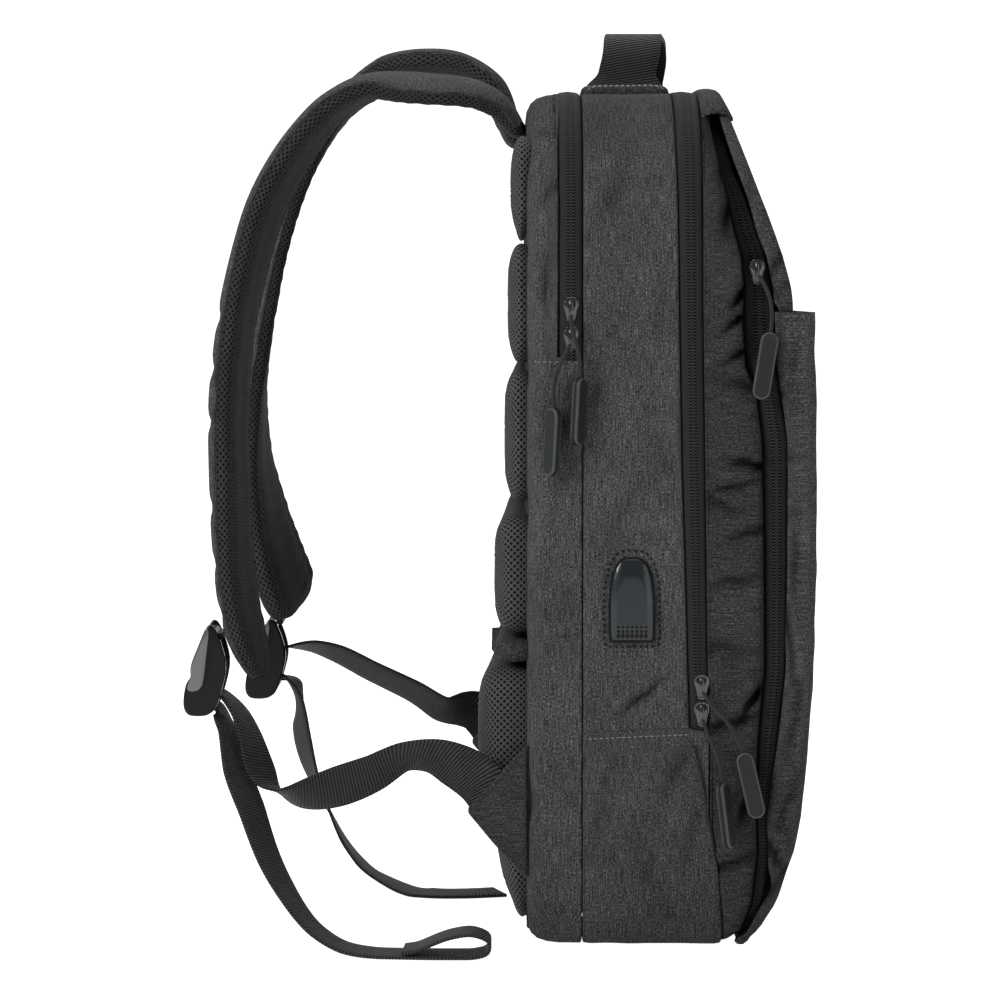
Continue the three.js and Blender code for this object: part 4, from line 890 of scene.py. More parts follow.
FLAP_DENTS = [
    dict(x=84.0, z=366.0, long=16.0, wide=4.0, turn=60, deep=2.2),
    dict(x=72.0, z=408.0, long=18.0, wide=5.0, turn=58, deep=1.2),
    dict(x=90.0, z=352.0, long=10.0, wide=4.0, turn=20, deep=1.4),
]
POCKET_DENTS = [
    dict(x=94.0, z=206.0, long=20.0, wide=4.0, turn=86, deep=1.3),
    dict(x=93.0, z=316.0, long=16.0, wide=3.4, turn=84, deep=1.0),
    dict(x=90.0, z=232.0, long=9.0, wide=2.6, turn=16, deep=1.2),
    dict(x=93.0, z=150.0, long=18.0, wide=3.0, turn=-80, deep=1.3),
    dict(x=90.0, z=78.0, long=16.0, wide=3.6, turn=66, deep=1.3),
    dict(x=89.0, z=176.0, long=15.0, wide=2.6, turn=-78, deep=2.4),
    dict(x=88.0, z=262.0, long=8.0, wide=2.2, turn=-10, deep=2.0),
    dict(x=87.0, z=294.0, long=7.0, wide=2.2, turn=-24, deep=2.2),
    dict(x=84.0, z=48.0, long=12.0, wide=3.2, turn=-58, deep=3.4),
    dict(x=76.0, z=26.0, long=16.0, wide=4.0, turn=40, deep=2.2),
    dict(x=94.0, z=120.0, long=22.0, wide=4.0, turn=78, deep=1.2),
]


def front_sheet(name, node, levels, column, inset, behind, table, thick, squeeze=lambda z: 0.0):
    rows = [front_row(z, column, inset(z), behind(z), table=table, squeeze=squeeze(z)) for z in levels]
    points = np.array(rows)
    middle = points[len(points) // 2]
    across = run_along(middle)
    uv = np.array([[(a, z) for a in across] for z in levels])
    thing = mesh_object(name, points, uv, material=CLOTH_ACROSS)
    x, y, z = points[:, :, 0], points[:, :, 1], points[:, :, 2]
    # Painted shade on the sides, in their creases and over the lower body, and over the top 35 mm across the
    # front
    on_side = smooth((np.abs(y) - (HALF - 9)) / 6)
    low_shade = 0.16 * smooth((190 - z) / 120)
    mark_painted_shade(thing, on_side * (low_shade + painted_shade_amount(x, z, table, 4.4)) + 0.2 * smooth((z - 415) / 35))
    solidify(thing, thick)
    return settle(thing, "body_fabric", node)


def front_flap():
    levels = np.concatenate([np.linspace(311, 341, 7), np.linspace(344, 446, 26), [448.2, 449.6]])
    tucked = POCKET_HEM
    return front_sheet(
        "flap_cloth", "front_flap", levels, "flap",
        lambda z: float(lerp(4.5, 0.8, smooth((z - tucked) / 5))),
        lambda z: float(lerp(3.3, 0.0, smooth((z - tucked) / 5))), FLAP_DENTS, 2.2)


def front_pocket():
    foot = [1.0, 1.3, 2.2, 4.0, 7.0, 11.0, 16.0, 21.0]
    hem = [POCKET_HEM - below for below in (7.5, 6.6, 5.6, 4, 2, 0.6, 0)]
    levels = np.concatenate([foot, np.linspace(26, POCKET_HEM - 10, 64), hem])
    return front_sheet("pocket_cloth", "front_pocket", levels, "pocket",
        lambda z: 0.4 + 0.5 * float(bump(z, POCKET_HEM - 6.6, 0.8)) + 3.0 * float(1 - smooth(z / 9)),
        lambda z: 4.5 * float(bump(z, 32.0, 8.0)), POCKET_DENTS, 2.4,
        lambda z: float(1 - smooth((z - 1.0) / 3.0)))


# Straps and webbing: "out" is a share of STRAP_REACH behind the back face, "up" of the body's
# height, "side" of half its width, "turn" the roll about its own line in degrees. A padded strap
# also has the shares of STRAP_WIDTH and STRAP_THICK at each row.
STRAP_REACH = 163.0
NEAR_STRAP = [
    (0.006, 0.978, -0.40, 0, 0.80, 0.70),
    (0.036, 0.979, -0.40, -1, 0.85, 0.75),
    (0.088, 1.004, -0.41, -4, 0.90, 0.90),
    (0.184, 1.021, -0.43, -7, 1.00, 1.00),
    (0.320, 1.026, -0.47, -9, 1.00, 1.00),
    (0.452, 1.028, -0.50, -9, 1.00, 1.00),
    (0.553, 1.025, -0.53, -4, 1.00, 1.00),
    (0.635, 1.006, -0.55, 2, 1.00, 1.00),
    (0.707, 0.980, -0.57, 6, 1.00, 1.00),
    (0.795, 0.937, -0.59, 8, 1.00, 1.00),
    (0.868, 0.886, -0.61, 9, 1.00, 1.00),
    (0.912, 0.840, -0.63, 9, 1.00, 1.00),
    (0.949, 0.786, -0.65, 8, 1.00, 1.05),
    (0.975, 0.735, -0.67, 7, 1.00, 1.05),
    (0.992, 0.672, -0.69, 7, 1.00, 1.10),
    (0.998, 0.610, -0.71, 7, 1.00, 1.10),
    (0.992, 0.545, -0.74, 8, 0.98, 1.10),
    (0.985, 0.480, -0.76, 9, 0.93, 1.05),
    (0.965, 0.413, -0.79, 11, 0.86, 1.00),
    (0.937, 0.366, -0.80, 12, 0.76, 0.95),
    (0.908, 0.335, -0.81, 12, 0.60, 0.80),
]
FAR_STRAP = [
    (0.006, 0.976, 0.40, 0, 0.80, 0.70),
    (0.036, 0.978, 0.40, 1, 0.85, 0.75),
    (0.066, 1.006, 0.40, 3, 0.90, 0.90),
    (0.110, 1.040, 0.41, 5, 1.00, 1.00),
    (0.209, 1.064, 0.43, 8, 1.00, 1.00),
    (0.323, 1.072, 0.45, 9, 1.00, 1.00),
    (0.480, 1.066, 0.50, 9, 1.00, 1.00),
    (0.607, 1.038, 0.53, 4, 1.00, 1.00),
    (0.698, 1.004, 0.56, -2, 1.00, 1.00),
    (0.802, 0.946, 0.59, -6, 1.00, 1.00),
    (0.872, 0.889, 0.61, -8, 1.00, 1.00),
    (0.920, 0.831, 0.63, -8, 1.00, 1.00),
    (0.952, 0.776, 0.65, -7, 1.00, 1.05),
    (0.986, 0.695, 0.67, -4, 1.00, 1.10),
    (1.005, 0.625, 0.70, 0, 1.00, 1.10),
    (1.003, 0.554, 0.73, 6, 0.98, 1.10),
    (0.978, 0.487, 0.75, 14, 0.97, 1.20),
    (0.933, 0.420, 0.77, 22, 0.95, 1.25),
    (0.893, 0.380, 0.79, 26, 0.92, 1.20),
    (0.868, 0.356, 0.81, 28, 0.88, 1.10),
]
NEAR_WEBBING = [
    (0.085, 0.160, -0.955, 90),
    (0.142, 0.190, -0.960, 90),
    (0.189, 0.205, -0.960, 84),
    (0.245, 0.217, -0.973, 70),
    (0.317, 0.226, -0.970, 50),
    (0.410, 0.224, -0.967, 42),
    (0.500, 0.206, -0.960, 54),
    (0.614, 0.189, -0.947, 62),
    (0.736, 0.177, -0.933, 42),
    (0.820, 0.181, -0.920, 8),
    (0.874, 0.203, -0.900, -26),
    (0.906, 0.238, -0.880, -22),
    (0.942, 0.270, -0.860, -12),
    (0.985, 0.289, -0.832, -3),
    (1.030, 0.300, -0.830, 0),
    (1.062, 0.303, -0.830, 0),
]
FAR_WEBBING = [
    (0.085, 0.160, 0.955, 90),
    (0.142, 0.190, 0.960, 90),
    (0.189, 0.203, 0.960, 76),
    (0.245, 0.206, 0.945, 56),
    (0.314, 0.209, 0.915, 42),
    (0.408, 0.231, 0.890, 36),
    (0.576, 0.262, 0.860, 33),
    (0.688, 0.284, 0.840, 30),
    (0.790, 0.296, 0.825, 20),
    (0.880, 0.296, 0.815, 6),
]
NEAR_TAIL = [
    (1.062, 0.288, -0.830, 0),
    (1.020, 0.279, -0.830, 2),
    (1.000, 0.265, -0.840, 8),
    (0.975, 0.246, -0.885, 20),
    (0.950, 0.207, -0.960, 24),
    (0.900, 0.164, -1.020, 24),
    (0.850, 0.116, -1.065, 20),
    (0.788, 0.074, -1.100, 14),
    (0.701, 0.033, -1.140, 7),
    (0.590, 0.009, -1.173, 2),
    (0.460, 0.003, -1.187, 0),
    (0.372, 0.003, -1.197, 0),
    (0.280, 0.003, -1.203, 0),
    (0.190, 0.003, -1.203, 0),
    (0.130, 0.008, -1.203, 0),
    (0.125, 0.022, -1.203, 0),
    (0.185, 0.030, -1.203, 0),
    (0.270, 0.024, -1.203, 0),
    (0.350, 0.012, -1.200, 0),
    (0.400, 0.009, -1.197, 0),
]
FAR_TAIL = [
    (0.946, 0.262, 0.810, 0),
    (0.905, 0.254, 0.810, 0),
    (0.872, 0.250, 0.796, 4),
    (0.852, 0.236, 0.750, 4),
    (0.838, 0.215, 0.680, -20),
    (0.820, 0.183, 0.620, -26),
    (0.794, 0.152, 0.573, -24),
    (0.749, 0.115, 0.507, -14),
    (0.698, 0.082, 0.433, -6),
    (0.640, 0.050, 0.347, -2),
    (0.560, 0.024, 0.240, -2),
    (0.452, 0.008, 0.127, 0),
    (0.372, 0.003, 0.060, 0),
    (0.282, 0.003, 0.030, 0),
    (0.177, 0.003, 0.040, 0),
    (0.088, 0.003, 0.067, 0),
]


def refined(table, times):
    """The table with rows put between its rows on a smooth line, once or more."""
    rows = np.array(table, float)
    for _ in range(times):
        before = np.vstack([rows[:1], rows[:-2]])
        after = np.vstack([rows[2:], rows[-1:]])
        middle = (9 * (rows[:-1] + rows[1:]) - before - after) / 16
        out = np.empty((len(rows) + len(middle), rows.shape[1]))
        out[0::2] = rows
        out[1::2] = middle
        rows = out
    return rows


def unit(vectors):
    return vectors / np.linalg.norm(vectors, axis=-1, keepdims=True)


def frames_along(centres, turns):
    """The directions across a strap and through it at each point of its line."""
    along = unit(np.gradient(centres, axis=0))
    across = unit(np.array([0.0, 1.0, 0.0]) - along * along[:, 1:2])
    turn = np.radians(turns)[:, None]
    across = across * np.cos(turn) + np.cross(along, across) * np.sin(turn)
    return along, across, np.cross(along, across)


def strap_line(table, times=3, lift=0.0):
    rows = refined(table, times)
    z = np.maximum(rows[:, 1] * BODY_HEIGHT, 1.4 + lift)
    centres = np.stack([BACK_FACE - rows[:, 0] * STRAP_REACH, rows[:, 2] * HALF, z], axis=1)
    along, across, out = frames_along(centres, rows[:, 3])
    run = run_along(centres)
    return dict(centres=centres, along=along, across=across, out=out, run=run, rows=rows)


def swept(name, line, section, material, closed=True, cap=False, flip=False):
    """A section of (across, out) pairs for each row of a line; returns the mesh."""
    points = []
    for i, centre in enumerate(line["centres"]):
        pairs = np.asarray(section(i), float)
        points.append(centre + pairs[:, :1] * line["across"][i] + pairs[:, 1:] * line["out"][i])
    pairs = np.asarray(section(len(points) // 2), float)
    wrapped = np.vstack([pairs, pairs[:1]]) if closed else pairs
    around = run_along(wrapped)
    uv = np.array([[(a, s) for a in around] for s in line["run"]])
    return mesh_object(name, np.array(points), uv, closed=closed, flip=flip, material=material, cap=cap)


def ribbon_section(width, thick):
    """A flat band's section with rounded selvedges."""
    w, t = width / 2, thick / 2
    return [(-w + t * 0.3, -t), (-w * 0.6, -t), (0, -t), (w * 0.6, -t), (w - t * 0.3, -t), (w, -t * 0.4),
        (w, t * 0.4), (w - t * 0.3, t), (w * 0.6, t), (0, t), (-w * 0.6, t), (-w + t * 0.3, t),
        (-w, t * 0.4), (-w, -t * 0.4)]


WEB_WIDTH = 26.0
WEB_THICK = 1.6


def webbing(name, node, table, cloth):
    section = ribbon_section(WEB_WIDTH, WEB_THICK)
    thing = swept(name, strap_line(table), lambda i: section, cloth, cap=True)
    return settle(thing, "webbing", node)


STRAP_WIDTH = 62.0
STRAP_THICK = 13.0
NEAR_PINCHES = (0.565, 0.625, 0.69, 0.79, 0.86, 0.915)
FAR_PINCHES = (0.60, 0.70, 0.80, 0.88)
STRAP_ROUND = 17.0


def with_round_end(line, reach):
    """The line carried on past its last row, so that the pad can close in a round end."""
    steps = 7
    last = {key: line[key][-1] for key in ("centres", "along", "across", "out")}
    more = reach * np.arange(1, steps + 1)[:, None] / steps
    longer = dict(line)
    longer["centres"] = np.vstack([line["centres"], last["centres"] + last["along"] * more])
    for key in ("along", "across", "out"):
        longer[key] = np.vstack([line[key], np.tile(last[key], (steps, 1))])
    longer["run"] = np.concatenate([line["run"], line["run"][-1] + more[:, 0]])
    longer["rows"] = np.vstack([line["rows"], np.tile(line["rows"][-1], (steps, 1))])
    return longer


def shoulder_strap(side, table, reach, pinches):
    line = with_round_end(strap_line(table), reach)
    rows = line["rows"]
    run = line["run"]
    total = run[-1]
    narrow = np.sqrt(np.clip(1 - ((run - (total - STRAP_ROUND)) / STRAP_ROUND).clip(0, 1) ** 2, 0.02, 1))
    puff = 1 - sum(0.36 * bump(run, place * total, 4.2) for place in pinches)
    puff = puff * lerp(0.55, 1.0, narrow)
    sway = 0.03 * np.sin(run / 21.0) + 0.02 * np.sin(run / 9.0)
    tag = SIDES[side]

    def size(i):
        end = narrow[i]
        half_wide = rows[i, 4] * STRAP_WIDTH / 2 * lerp(0.35, 1.0, end)
        return half_wide, rows[i, 5] * STRAP_THICK / 2 * lerp(0.5, 1.0, end)

    def face(i):
        w, t = size(i)
        pairs = []
        for a in np.linspace(-1, 1, 21):
            b = -(0.12 + 0.95 * (puff[i] + sway[i]) * (1 - abs(a) ** 2.6) ** 0.62)
            pairs.append((a * w, b * t))
        return pairs

    def inner(i):
        w, t = size(i)
        pairs = []
        for a, b in ((1.0, -0.12), (1.005, 0.1), (1.0, 0.35), (0.985, 0.62), (0.95, 0.84), (0.9, 0.98),
                (0.8, 1.06), (0.72, 1.0), (0.66, 1.08), (0.45, 1.14), (0.2, 1.12), (0.0, 1.1)):
            ripple = 0.035 * math.sin(run[i] / 1.6 + 5 * a) * (b > 0.5)
            pairs.append((a * w, (b + ripple) * t * lerp(0.85, 1, puff[i])))
        return pairs + [(-a, b) for a, b in pairs[-2::-1]]

    cloth = swept(f"strap_{tag}_face", line, face, CLOTH_ACROSS, closed=False)
    under = swept(f"strap_{tag}_mesh", line, inner, MESH_DARK, closed=False)
    settle(cloth, "body_fabric", f"shoulder_strap_{tag}")
    settle(under, "mesh_fabric")
    for edge, sign in (("a", -1), ("b", 1)):
        def piping(i, sign=sign):
            w, t = size(i)
            middle = (sign * w * 0.995, -0.10 * t)
            turns = [k * math.pi / 4 for k in range(8)]
            return [(middle[0] + 0.9 * math.cos(turn), middle[1] + 1.1 * math.sin(turn)) for turn in turns]

        def hem(i, sign=sign):
            w, t = size(i)
            return sign * (w + 0.25), 0.16 * t

        settle(swept(f"strap_{tag}_binding_{edge}", line, piping, CLOTH_DARK, cap=True), "body_fabric")
        stitch_rows(f"strap_{tag}_stitches_{edge}", line, hem)


def stitch_rows(name, line, place, pitch=4.2, long=2.6):
    """Stitches that follow a strap's line at a place (across, out) of its section."""
    points = []
    for i, centre in enumerate(line["centres"]):
        a, b = place(i)
        points.append(centre + a * line["across"][i] + b * line["out"][i])
    return stitches(name, np.array(points), pitch, long)


# Back pads

BACK_PADS = [
    dict(name="back_pad_1", top=0.962, low=0.845, deep=6.0),
    dict(name="back_pad_2", top=0.834, low=0.692, deep=7.5),
    dict(name="back_pad_3", top=0.684, low=0.526, deep=9.2),
    dict(name="back_pad_4", top=0.510, low=0.367, deep=14.9),
    dict(name="lumbar_band", top=0.362, low=0.335, deep=18.5),
    dict(name="back_pad_5", top=0.329, low=0.178, deep=23.8),
    dict(name="back_pad_6", top=0.168, low=0.024, deep=18.5, taper=0.7),
]
PAD_HALF = HALF - 14.0
PAD_CORNER = 16.0
PAD_FAR_THINNING = 0.5
PAD_SUNK = 6.0


def rounded_box(wide, tall, corner, count=10):
    points = []
    for quarter, (sy, sz) in enumerate(((1, 1), (-1, 1), (-1, -1), (1, -1))):
        for i in range(count + 1):
            turn = (quarter + i / count) * math.pi / 2
            points.append((sy * (wide - corner) + math.cos(turn) * corner,
                sz * (tall - corner) + math.sin(turn) * corner))
    dense = []
    for a, b in zip(points, points[1:] + points[:1]):
        steps = max(1, int(math.hypot(b[0] - a[0], b[1] - a[1]) / 5))
        dense += [(lerp(a[0], b[0], k / steps), lerp(a[1], b[1], k / steps)) for k in range(steps)]
    return np.array(dense)


PUFF_REACH = 2.2
PUFF_FRAMES = 9


def inflate(thing, held):
    """Puffs a padded piece up in the cloth solver, its first vertices held where they are sewn."""
    group = thing.vertex_groups.new(name="held")
    group.add(list(range(held)), 1.0, "REPLACE")
    before = np.array([v.co[:] for v in thing.data.vertices])
    cloth = thing.modifiers.new("puff", "CLOTH")
    cloth.settings.quality = 5
    cloth.settings.mass = 0.2
    cloth.settings.tension_stiffness = 30
    cloth.settings.compression_stiffness = 30
    cloth.settings.bending_stiffness = 0.6
    cloth.settings.vertex_group_mass = "held"
    cloth.settings.use_pressure = True
    cloth.settings.uniform_pressure_force = 4.0
    cloth.settings.effector_weights.gravity = 0.0
    cloth.point_cache.frame_start = 1
    cloth.point_cache.frame_end = PUFF_FRAMES
    scene = bpy.context.scene
    for frame_number in range(1, PUFF_FRAMES + 1):
        scene.frame_set(frame_number)
    shaped = thing.evaluated_get(bpy.context.evaluated_depsgraph_get())
    after = np.array([v.co[:] for v in shaped.data.vertices])
    thing.modifiers.remove(cloth)
    scene.frame_set(1)
    move = after - before
    far = np.linalg.norm(move, axis=1)[:, None]
    reach = PUFF_REACH * MM
    move = move * np.minimum(1.0, reach / np.maximum(far, 1e-9))
    for vertex, place in zip(thing.data.vertices, before + move):
        vertex.co = place


def back_pad(name, top, low, deep, taper=0.0):
    tall = (top - low) * BODY_HEIGHT / 2
    middle = (top + low) * BODY_HEIGHT / 2
    corner = min(PAD_CORNER, tall * 0.9)
    edge = rounded_box(PAD_HALF, tall, corner)
    around = np.vstack([edge, edge[:1]])
    around = np.concatenate([[0], np.cumsum(np.hypot(*np.diff(around, axis=0).T))])
    rows = []
    for out, inward in ((0.0, 1.5), (0.05, 0.4), (0.3, -0.2), (0.5, -0.1), (0.66, 0.4), (0.78, 1.2),
            (0.87, 2.5), (0.93, 4.2), (0.97, 6.4), (1.0, 9.5), (1.02, 14.0)):
        scale = np.array([(PAD_HALF - inward) / PAD_HALF, max(tall - inward, 0.5) / tall])
        ring = edge * scale
        drop = taper * np.clip(0.45 - ring[:, 1] / (2 * tall), 0, 1)
        ripple = 0.22 * np.sin(2 * math.pi * around[:-1] / 3.5) * smooth((out - 0.3) / 0.4)
        far = 1 - PAD_FAR_THINNING * (ring[:, 0] + PAD_HALF) / (2 * PAD_HALF)
        x = BACK_FACE - 0.3 - deep * far * out * (1 - drop) - ripple
        rows.append(np.stack([x, ring[:, 0], middle + ring[:, 1]], axis=1))
    rows[0][:, 0] += PAD_SUNK
    wall = len(rows) - 1
    last = rows[-1]
    for share in (0.8, 0.6, 0.4, 0.2, 0.03):
        ring = last.copy()
        ring[:, 1] *= share
        ring[:, 2] = middle + (ring[:, 2] - middle) * share
        rows.append(ring)
    points = np.array(rows)
    steps = np.linalg.norm(np.diff(points, axis=0), axis=2).mean(axis=1)
    depth = np.concatenate([[0], np.cumsum(steps)])
    wall_uv = np.array([[(d, a) for a in around] for d in depth])
    face_uv = np.concatenate([points[:, :, 1:], points[:, :1, 1:]], axis=1)
    cloth = CLOTH_DARK if name == "lumbar_band" else MESH
    thing = mesh_object(
        name + "_cloth", points, wall_uv, closed=True, flip=True, material=cloth, cap=True,
        uv_from=(wall, face_uv))
    if name != "lumbar_band":
        inflate(thing, 3 * len(edge))
    settle(thing, "mesh_fabric", name)
    return thing


# Carry handle

HANDLE_LINE = [(-1.30, 0.00), (-1.02, 0.00), (-0.93, 0.10), (-0.86, 0.35), (-0.79, 0.62), (-0.68, 0.85),
    (-0.53, 0.965), (-0.34, 1.00)]
HANDLE_WIDTH = 32.0
HANDLE_SPREAD = 108.0
HANDLE_RISE = 32.2
HANDLE_THICK = 3.0
HANDLE_LEAN = 0.15
PATCH_PLACE = 62.0
PATCH_WIDE = 25.0
PATCH_LONG = 17.0
PATCH_SQUARENESS = 0.42


def handle(top):
    table = HANDLE_LINE + [(0.0, 1.0)] + [(-a, r) for a, r in reversed(HANDLE_LINE)]
    rows = refined(table, 3)
    middle_x = MAIN_START + 27.5 + 2
    y = rows[:, 0] * HANDLE_SPREAD / 2
    seat = crowned(y, np.full(len(y), BODY_HEIGHT)) + 0.2 + HANDLE_THICK / 2
    z = lerp(seat, BODY_HEIGHT + CROWN + HANDLE_RISE, rows[:, 1])
    x = middle_x + HANDLE_WIDTH * HANDLE_LEAN * rows[:, 0] + 3.6 * smooth(rows[:, 1] * 1.3)
    centres = np.stack([x, y, z], axis=1)
    along = unit(np.gradient(centres * (0, 1, 1), axis=0))
    across = np.tile([1.0, 0.0, 0.0], (len(y), 1))
    out = np.stack([np.zeros(len(y)), -along[:, 2], along[:, 1]], axis=1)
    run = run_along(centres)
    line = dict(centres=centres, across=across, out=out, run=run)
    flare = 1 + 0.35 * smooth((0.30 - rows[:, 1]) / 0.3)

    def section(i):
        return np.array(ribbon_section(HANDLE_WIDTH * flare[i], HANDLE_THICK))

    # The handle takes the darker webbing copy: painted shade on the top of the bag
    settle(swept("handle_webbing", line, section, WEB_PAINTED_SHADE, cap=True), "webbing", "handle")
    for side, tag in SIDES.items():
        handle_patch(side, tag, middle_x + HANDLE_LEAN * HANDLE_WIDTH * side, top)


def handle_patch(side, tag, middle_x, top):
    """Cloth sewn over the foot of the handle's webbing, with its seams."""
    wide, long = PATCH_WIDE, PATCH_LONG
    centre = side * PATCH_PLACE
    rows = []
    for share, lift in ((1.0, -0.9), (0.985, 1.0), (0.95, 2.6), (0.88, 3.8), (0.78, 4.3), (0.6, 4.45),
            (0.4, 4.45), (0.2, 4.45), (0.02, 4.45)):
        ring = []
        for i in range(48):
            turn = i / 48 * 2 * math.pi
            c, s = math.cos(turn), math.sin(turn)
            x = middle_x + wide * share * math.copysign(abs(c) ** PATCH_SQUARENESS, c)
            y = centre + long * share * math.copysign(abs(s) ** PATCH_SQUARENESS, s)
            ground = top.top(x, y, 0.0)
            ring.append((x, y, (ground[2] if ground else 455.0) + lift))
        rows.append(ring)
    points = np.array(rows)
    uv = np.concatenate([points[:, :, :2], points[:, :1, :2]], axis=1)
    patch = mesh_object(f"handle_patch_{tag}", points, uv, closed=True, material=CLOTH, cap=True)
    # Painted shade over the whole patch, for the darker top of the bag
    mark_painted_shade(patch, np.full(points.shape[:2], 0.55))
    settle(patch, "body_fabric")
    cover = Surface(patch)
    for step, y in (("a", centre + side * (long - 3.2)), ("b", centre + side * (long - 6.2))):
        line = [cover.top(x, y, 0.2) for x in np.linspace(middle_x - wide + 3.5, middle_x + wide - 3.5, 18)]
        stitches(f"handle_patch_{tag}_seam_{step}", np.array([p for p in line if p]), 3.0, 2.2, 0.55, THREAD)
    zigzag = []
    for k in range(45):
        y = centre - side * (long - 3.0) + (1.6 if k % 2 else -1.6)
        zigzag.append(cover.top(middle_x - 17.5 + k * 0.8, y, 0.25))
    stitches(f"handle_patch_{tag}_zigzag", np.array([p for p in zigzag if p]), 1.75, 1.6, 0.4, THREAD)


# Small hardware

def flat_shape(name, outline_points, y_near, thick, edge, material, segments=3):
    """An upright plate facing the near side, its front at y_near, with rounded edges."""
    count = len(outline_points)
    front = [(x, y_near, z) for x, z in outline_points]
    back = [(x, y_near + thick, z) for x, z in outline_points]
    faces = [list(range(count)), list(range(2 * count - 1, count - 1, -1))]
    faces += [[(i + 1) % count, i, count + i, count + (i + 1) % count] for i in range(count)]
    return bevel(faces_object(name, front + back, faces, material), edge, segments)


def port_pod(surface):
    low, high = cad_box("port_pod")
    half = (high[0] - low[0]) / 2 * 1.06
    cx = (high[0] + low[0]) / 2 + 0.6
    tall = high[2] - low[2]
    proud = high[1] - low[1]
    rim = [(-0.90, 0.0), (-0.4, 0.0), (0.4, 0.0), (0.90, 0.0), (0.97, 0.035), (0.99, 0.14), (1.0, 0.30),
        (1.0, 0.50), (0.97, 0.64), (0.88, 0.78), (0.74, 0.89), (0.56, 0.96), (0.34, 0.995), (0.0, 1.0)]
    rim += [(-x, z) for x, z in rim[-2:3:-1]]
    rim = np.array(rim)
    dense = []
    for a, b in zip(rim, np.vstack([rim[1:], rim[:1]])):
        dense += [lerp(a, b, k / 4) for k in range(4)]
    rim = np.array(dense)
    rows = []
    for inward, rise in ((0.0, 0.0), (0.0, 0.30), (0.02, 0.50), (0.05, 0.62), (0.16, 0.80), (0.28, 0.94),
            (0.34, 0.985), (0.42, 1.0), (0.7, 1.0), (0.97, 1.0)):
        x = rim[:, 0] * (1 - inward)
        z = lerp(rim[:, 1], 0.42, inward)
        slope = 1 - 0.42 * smooth((z - 0.80) / 0.2) * min(1.0, inward * 4)
        rows.append(np.stack([cx + half * x, high[1] - proud * rise * slope, low[2] + tall * z], axis=1))
    cover = mesh_object("pod_cover", np.array(rows), closed=True, flip=True, material=POD, cap=True)
    settle(cover, "pod_plastic", "port_pod")
    # Painted shadow: a near-black ring just outside the cover, in the gap round it
    gap = [(cx + half * 1.07 * x, low[2] + tall * (0.5 + (z - 0.5) * 1.035)) for x, z in rim]
    settle(flat_shape("pod_gap_shadow", gap, high[1] - 0.9, 0.9, 0.2, SHADE_AND_THREAD_BLACK), "pod_plastic")
    # Painted shade: flat near-black discs stand for the grille's holes
    vertices = []
    faces = []
    for z, radius in ((0.175, 0.80), (0.120, 0.88), (0.062, 1.0)):
        for column in range(7):
            x = cx + (column - 3) * 2.45
            base = len(vertices)
            height = low[2] + tall * z
            face_y = low[1] - 0.06
            for k in range(12):
                turn = k * math.pi / 6
                vertices.append((x + radius * math.cos(turn), face_y, height + radius * math.sin(turn)))
            faces.append([base + k for k in range(12)])
    settle(faces_object("pod_grille_hole_shade", vertices, faces, SHADE_AND_THREAD_BLACK), "pod_plastic")
    sides = []
    for x, z in rim:
        sides.append(surface.near(cx + half * x * 1.28, low[2] + tall * (0.43 + (z - 0.43) * 1.17), 0.3))
    sides.append(sides[0])
    stitches("pod_stitches", np.array(sides), 3.3, 2.0, 1.3, SHADE_AND_THREAD_BLACK)
    foot = [surface.near(x, low[2] - 3.6, 0.25) for x in np.linspace(cx - half * 1.2, cx + half * 1.2, 12)]
    stitches("pod_foot_stitches", np.array(foot), 3.3, 1.3, 0.4, THREAD)


PULLS = [
    dict(
        cord=[(-26.6, -153.95, 337), (-25.2, -155.6, 328), (-23, -155.8, 320),
              (-21.6, -155.6, 312), (-21.2, -155.2, 304.5)],
        lean=3, roll=58),
    dict(
        cord=[(-27, -153.95, 321.5), (-31, -156.4, 313), (-34.4, -156.6, 306),
              (-35.6, -156.2, 297), (-35.2, -155.6, 288.5)],
        lean=3, roll=-50),
    dict(
        cord=[(44.4, -153.95, 136.5), (49, -156.5, 130), (55, -157.8, 124),
              (61, -158, 115), (65.3, -157.6, 105.5)],
        lean=-13, roll=0),
    dict(
        cord=[(44, -153.95, 122), (47.5, -156.2, 113), (51.5, -157.2, 105),
              (53.6, -157.4, 97), (54.2, -157.2, 89.5)],
        lean=-7, roll=62),
    dict(
        cord=[(73.3, -149.35, 358), (76.5, -152.2, 352), (79, -153.4, 345),
              (79.8, -153.6, 337), (79.4, -153.4, 328.5)],
        lean=9, roll=0),
]
CORD_WIDE = 2.2
TAB_WIDE = 9.5
TAB_TALL = 36.0
TAB_THICK = 4.5


def pull_cord(number, pull):
    name = f"pull_{number}_cord"
    curve = bpy.data.curves.new(name, "CURVE")
    curve.dimensions = "3D"
    curve.bevel_depth = CORD_WIDE / 2 * MM
    curve.bevel_resolution = 3
    curve.use_fill_caps = True
    places = refined(pull["cord"], 2)
    spline = curve.splines.new("POLY")
    spline.points.add(len(places) - 1)
    for point, place in zip(spline.points, places):
        point.co = (*(place * MM), 1)
    curve.materials.append(CORD)
    thing = linked(name, curve)
    settle(thing, "pull_cord", f"zip_cord_{number}")
    length = float(np.linalg.norm(np.diff(places, axis=0), axis=1).sum())
    return thing, length


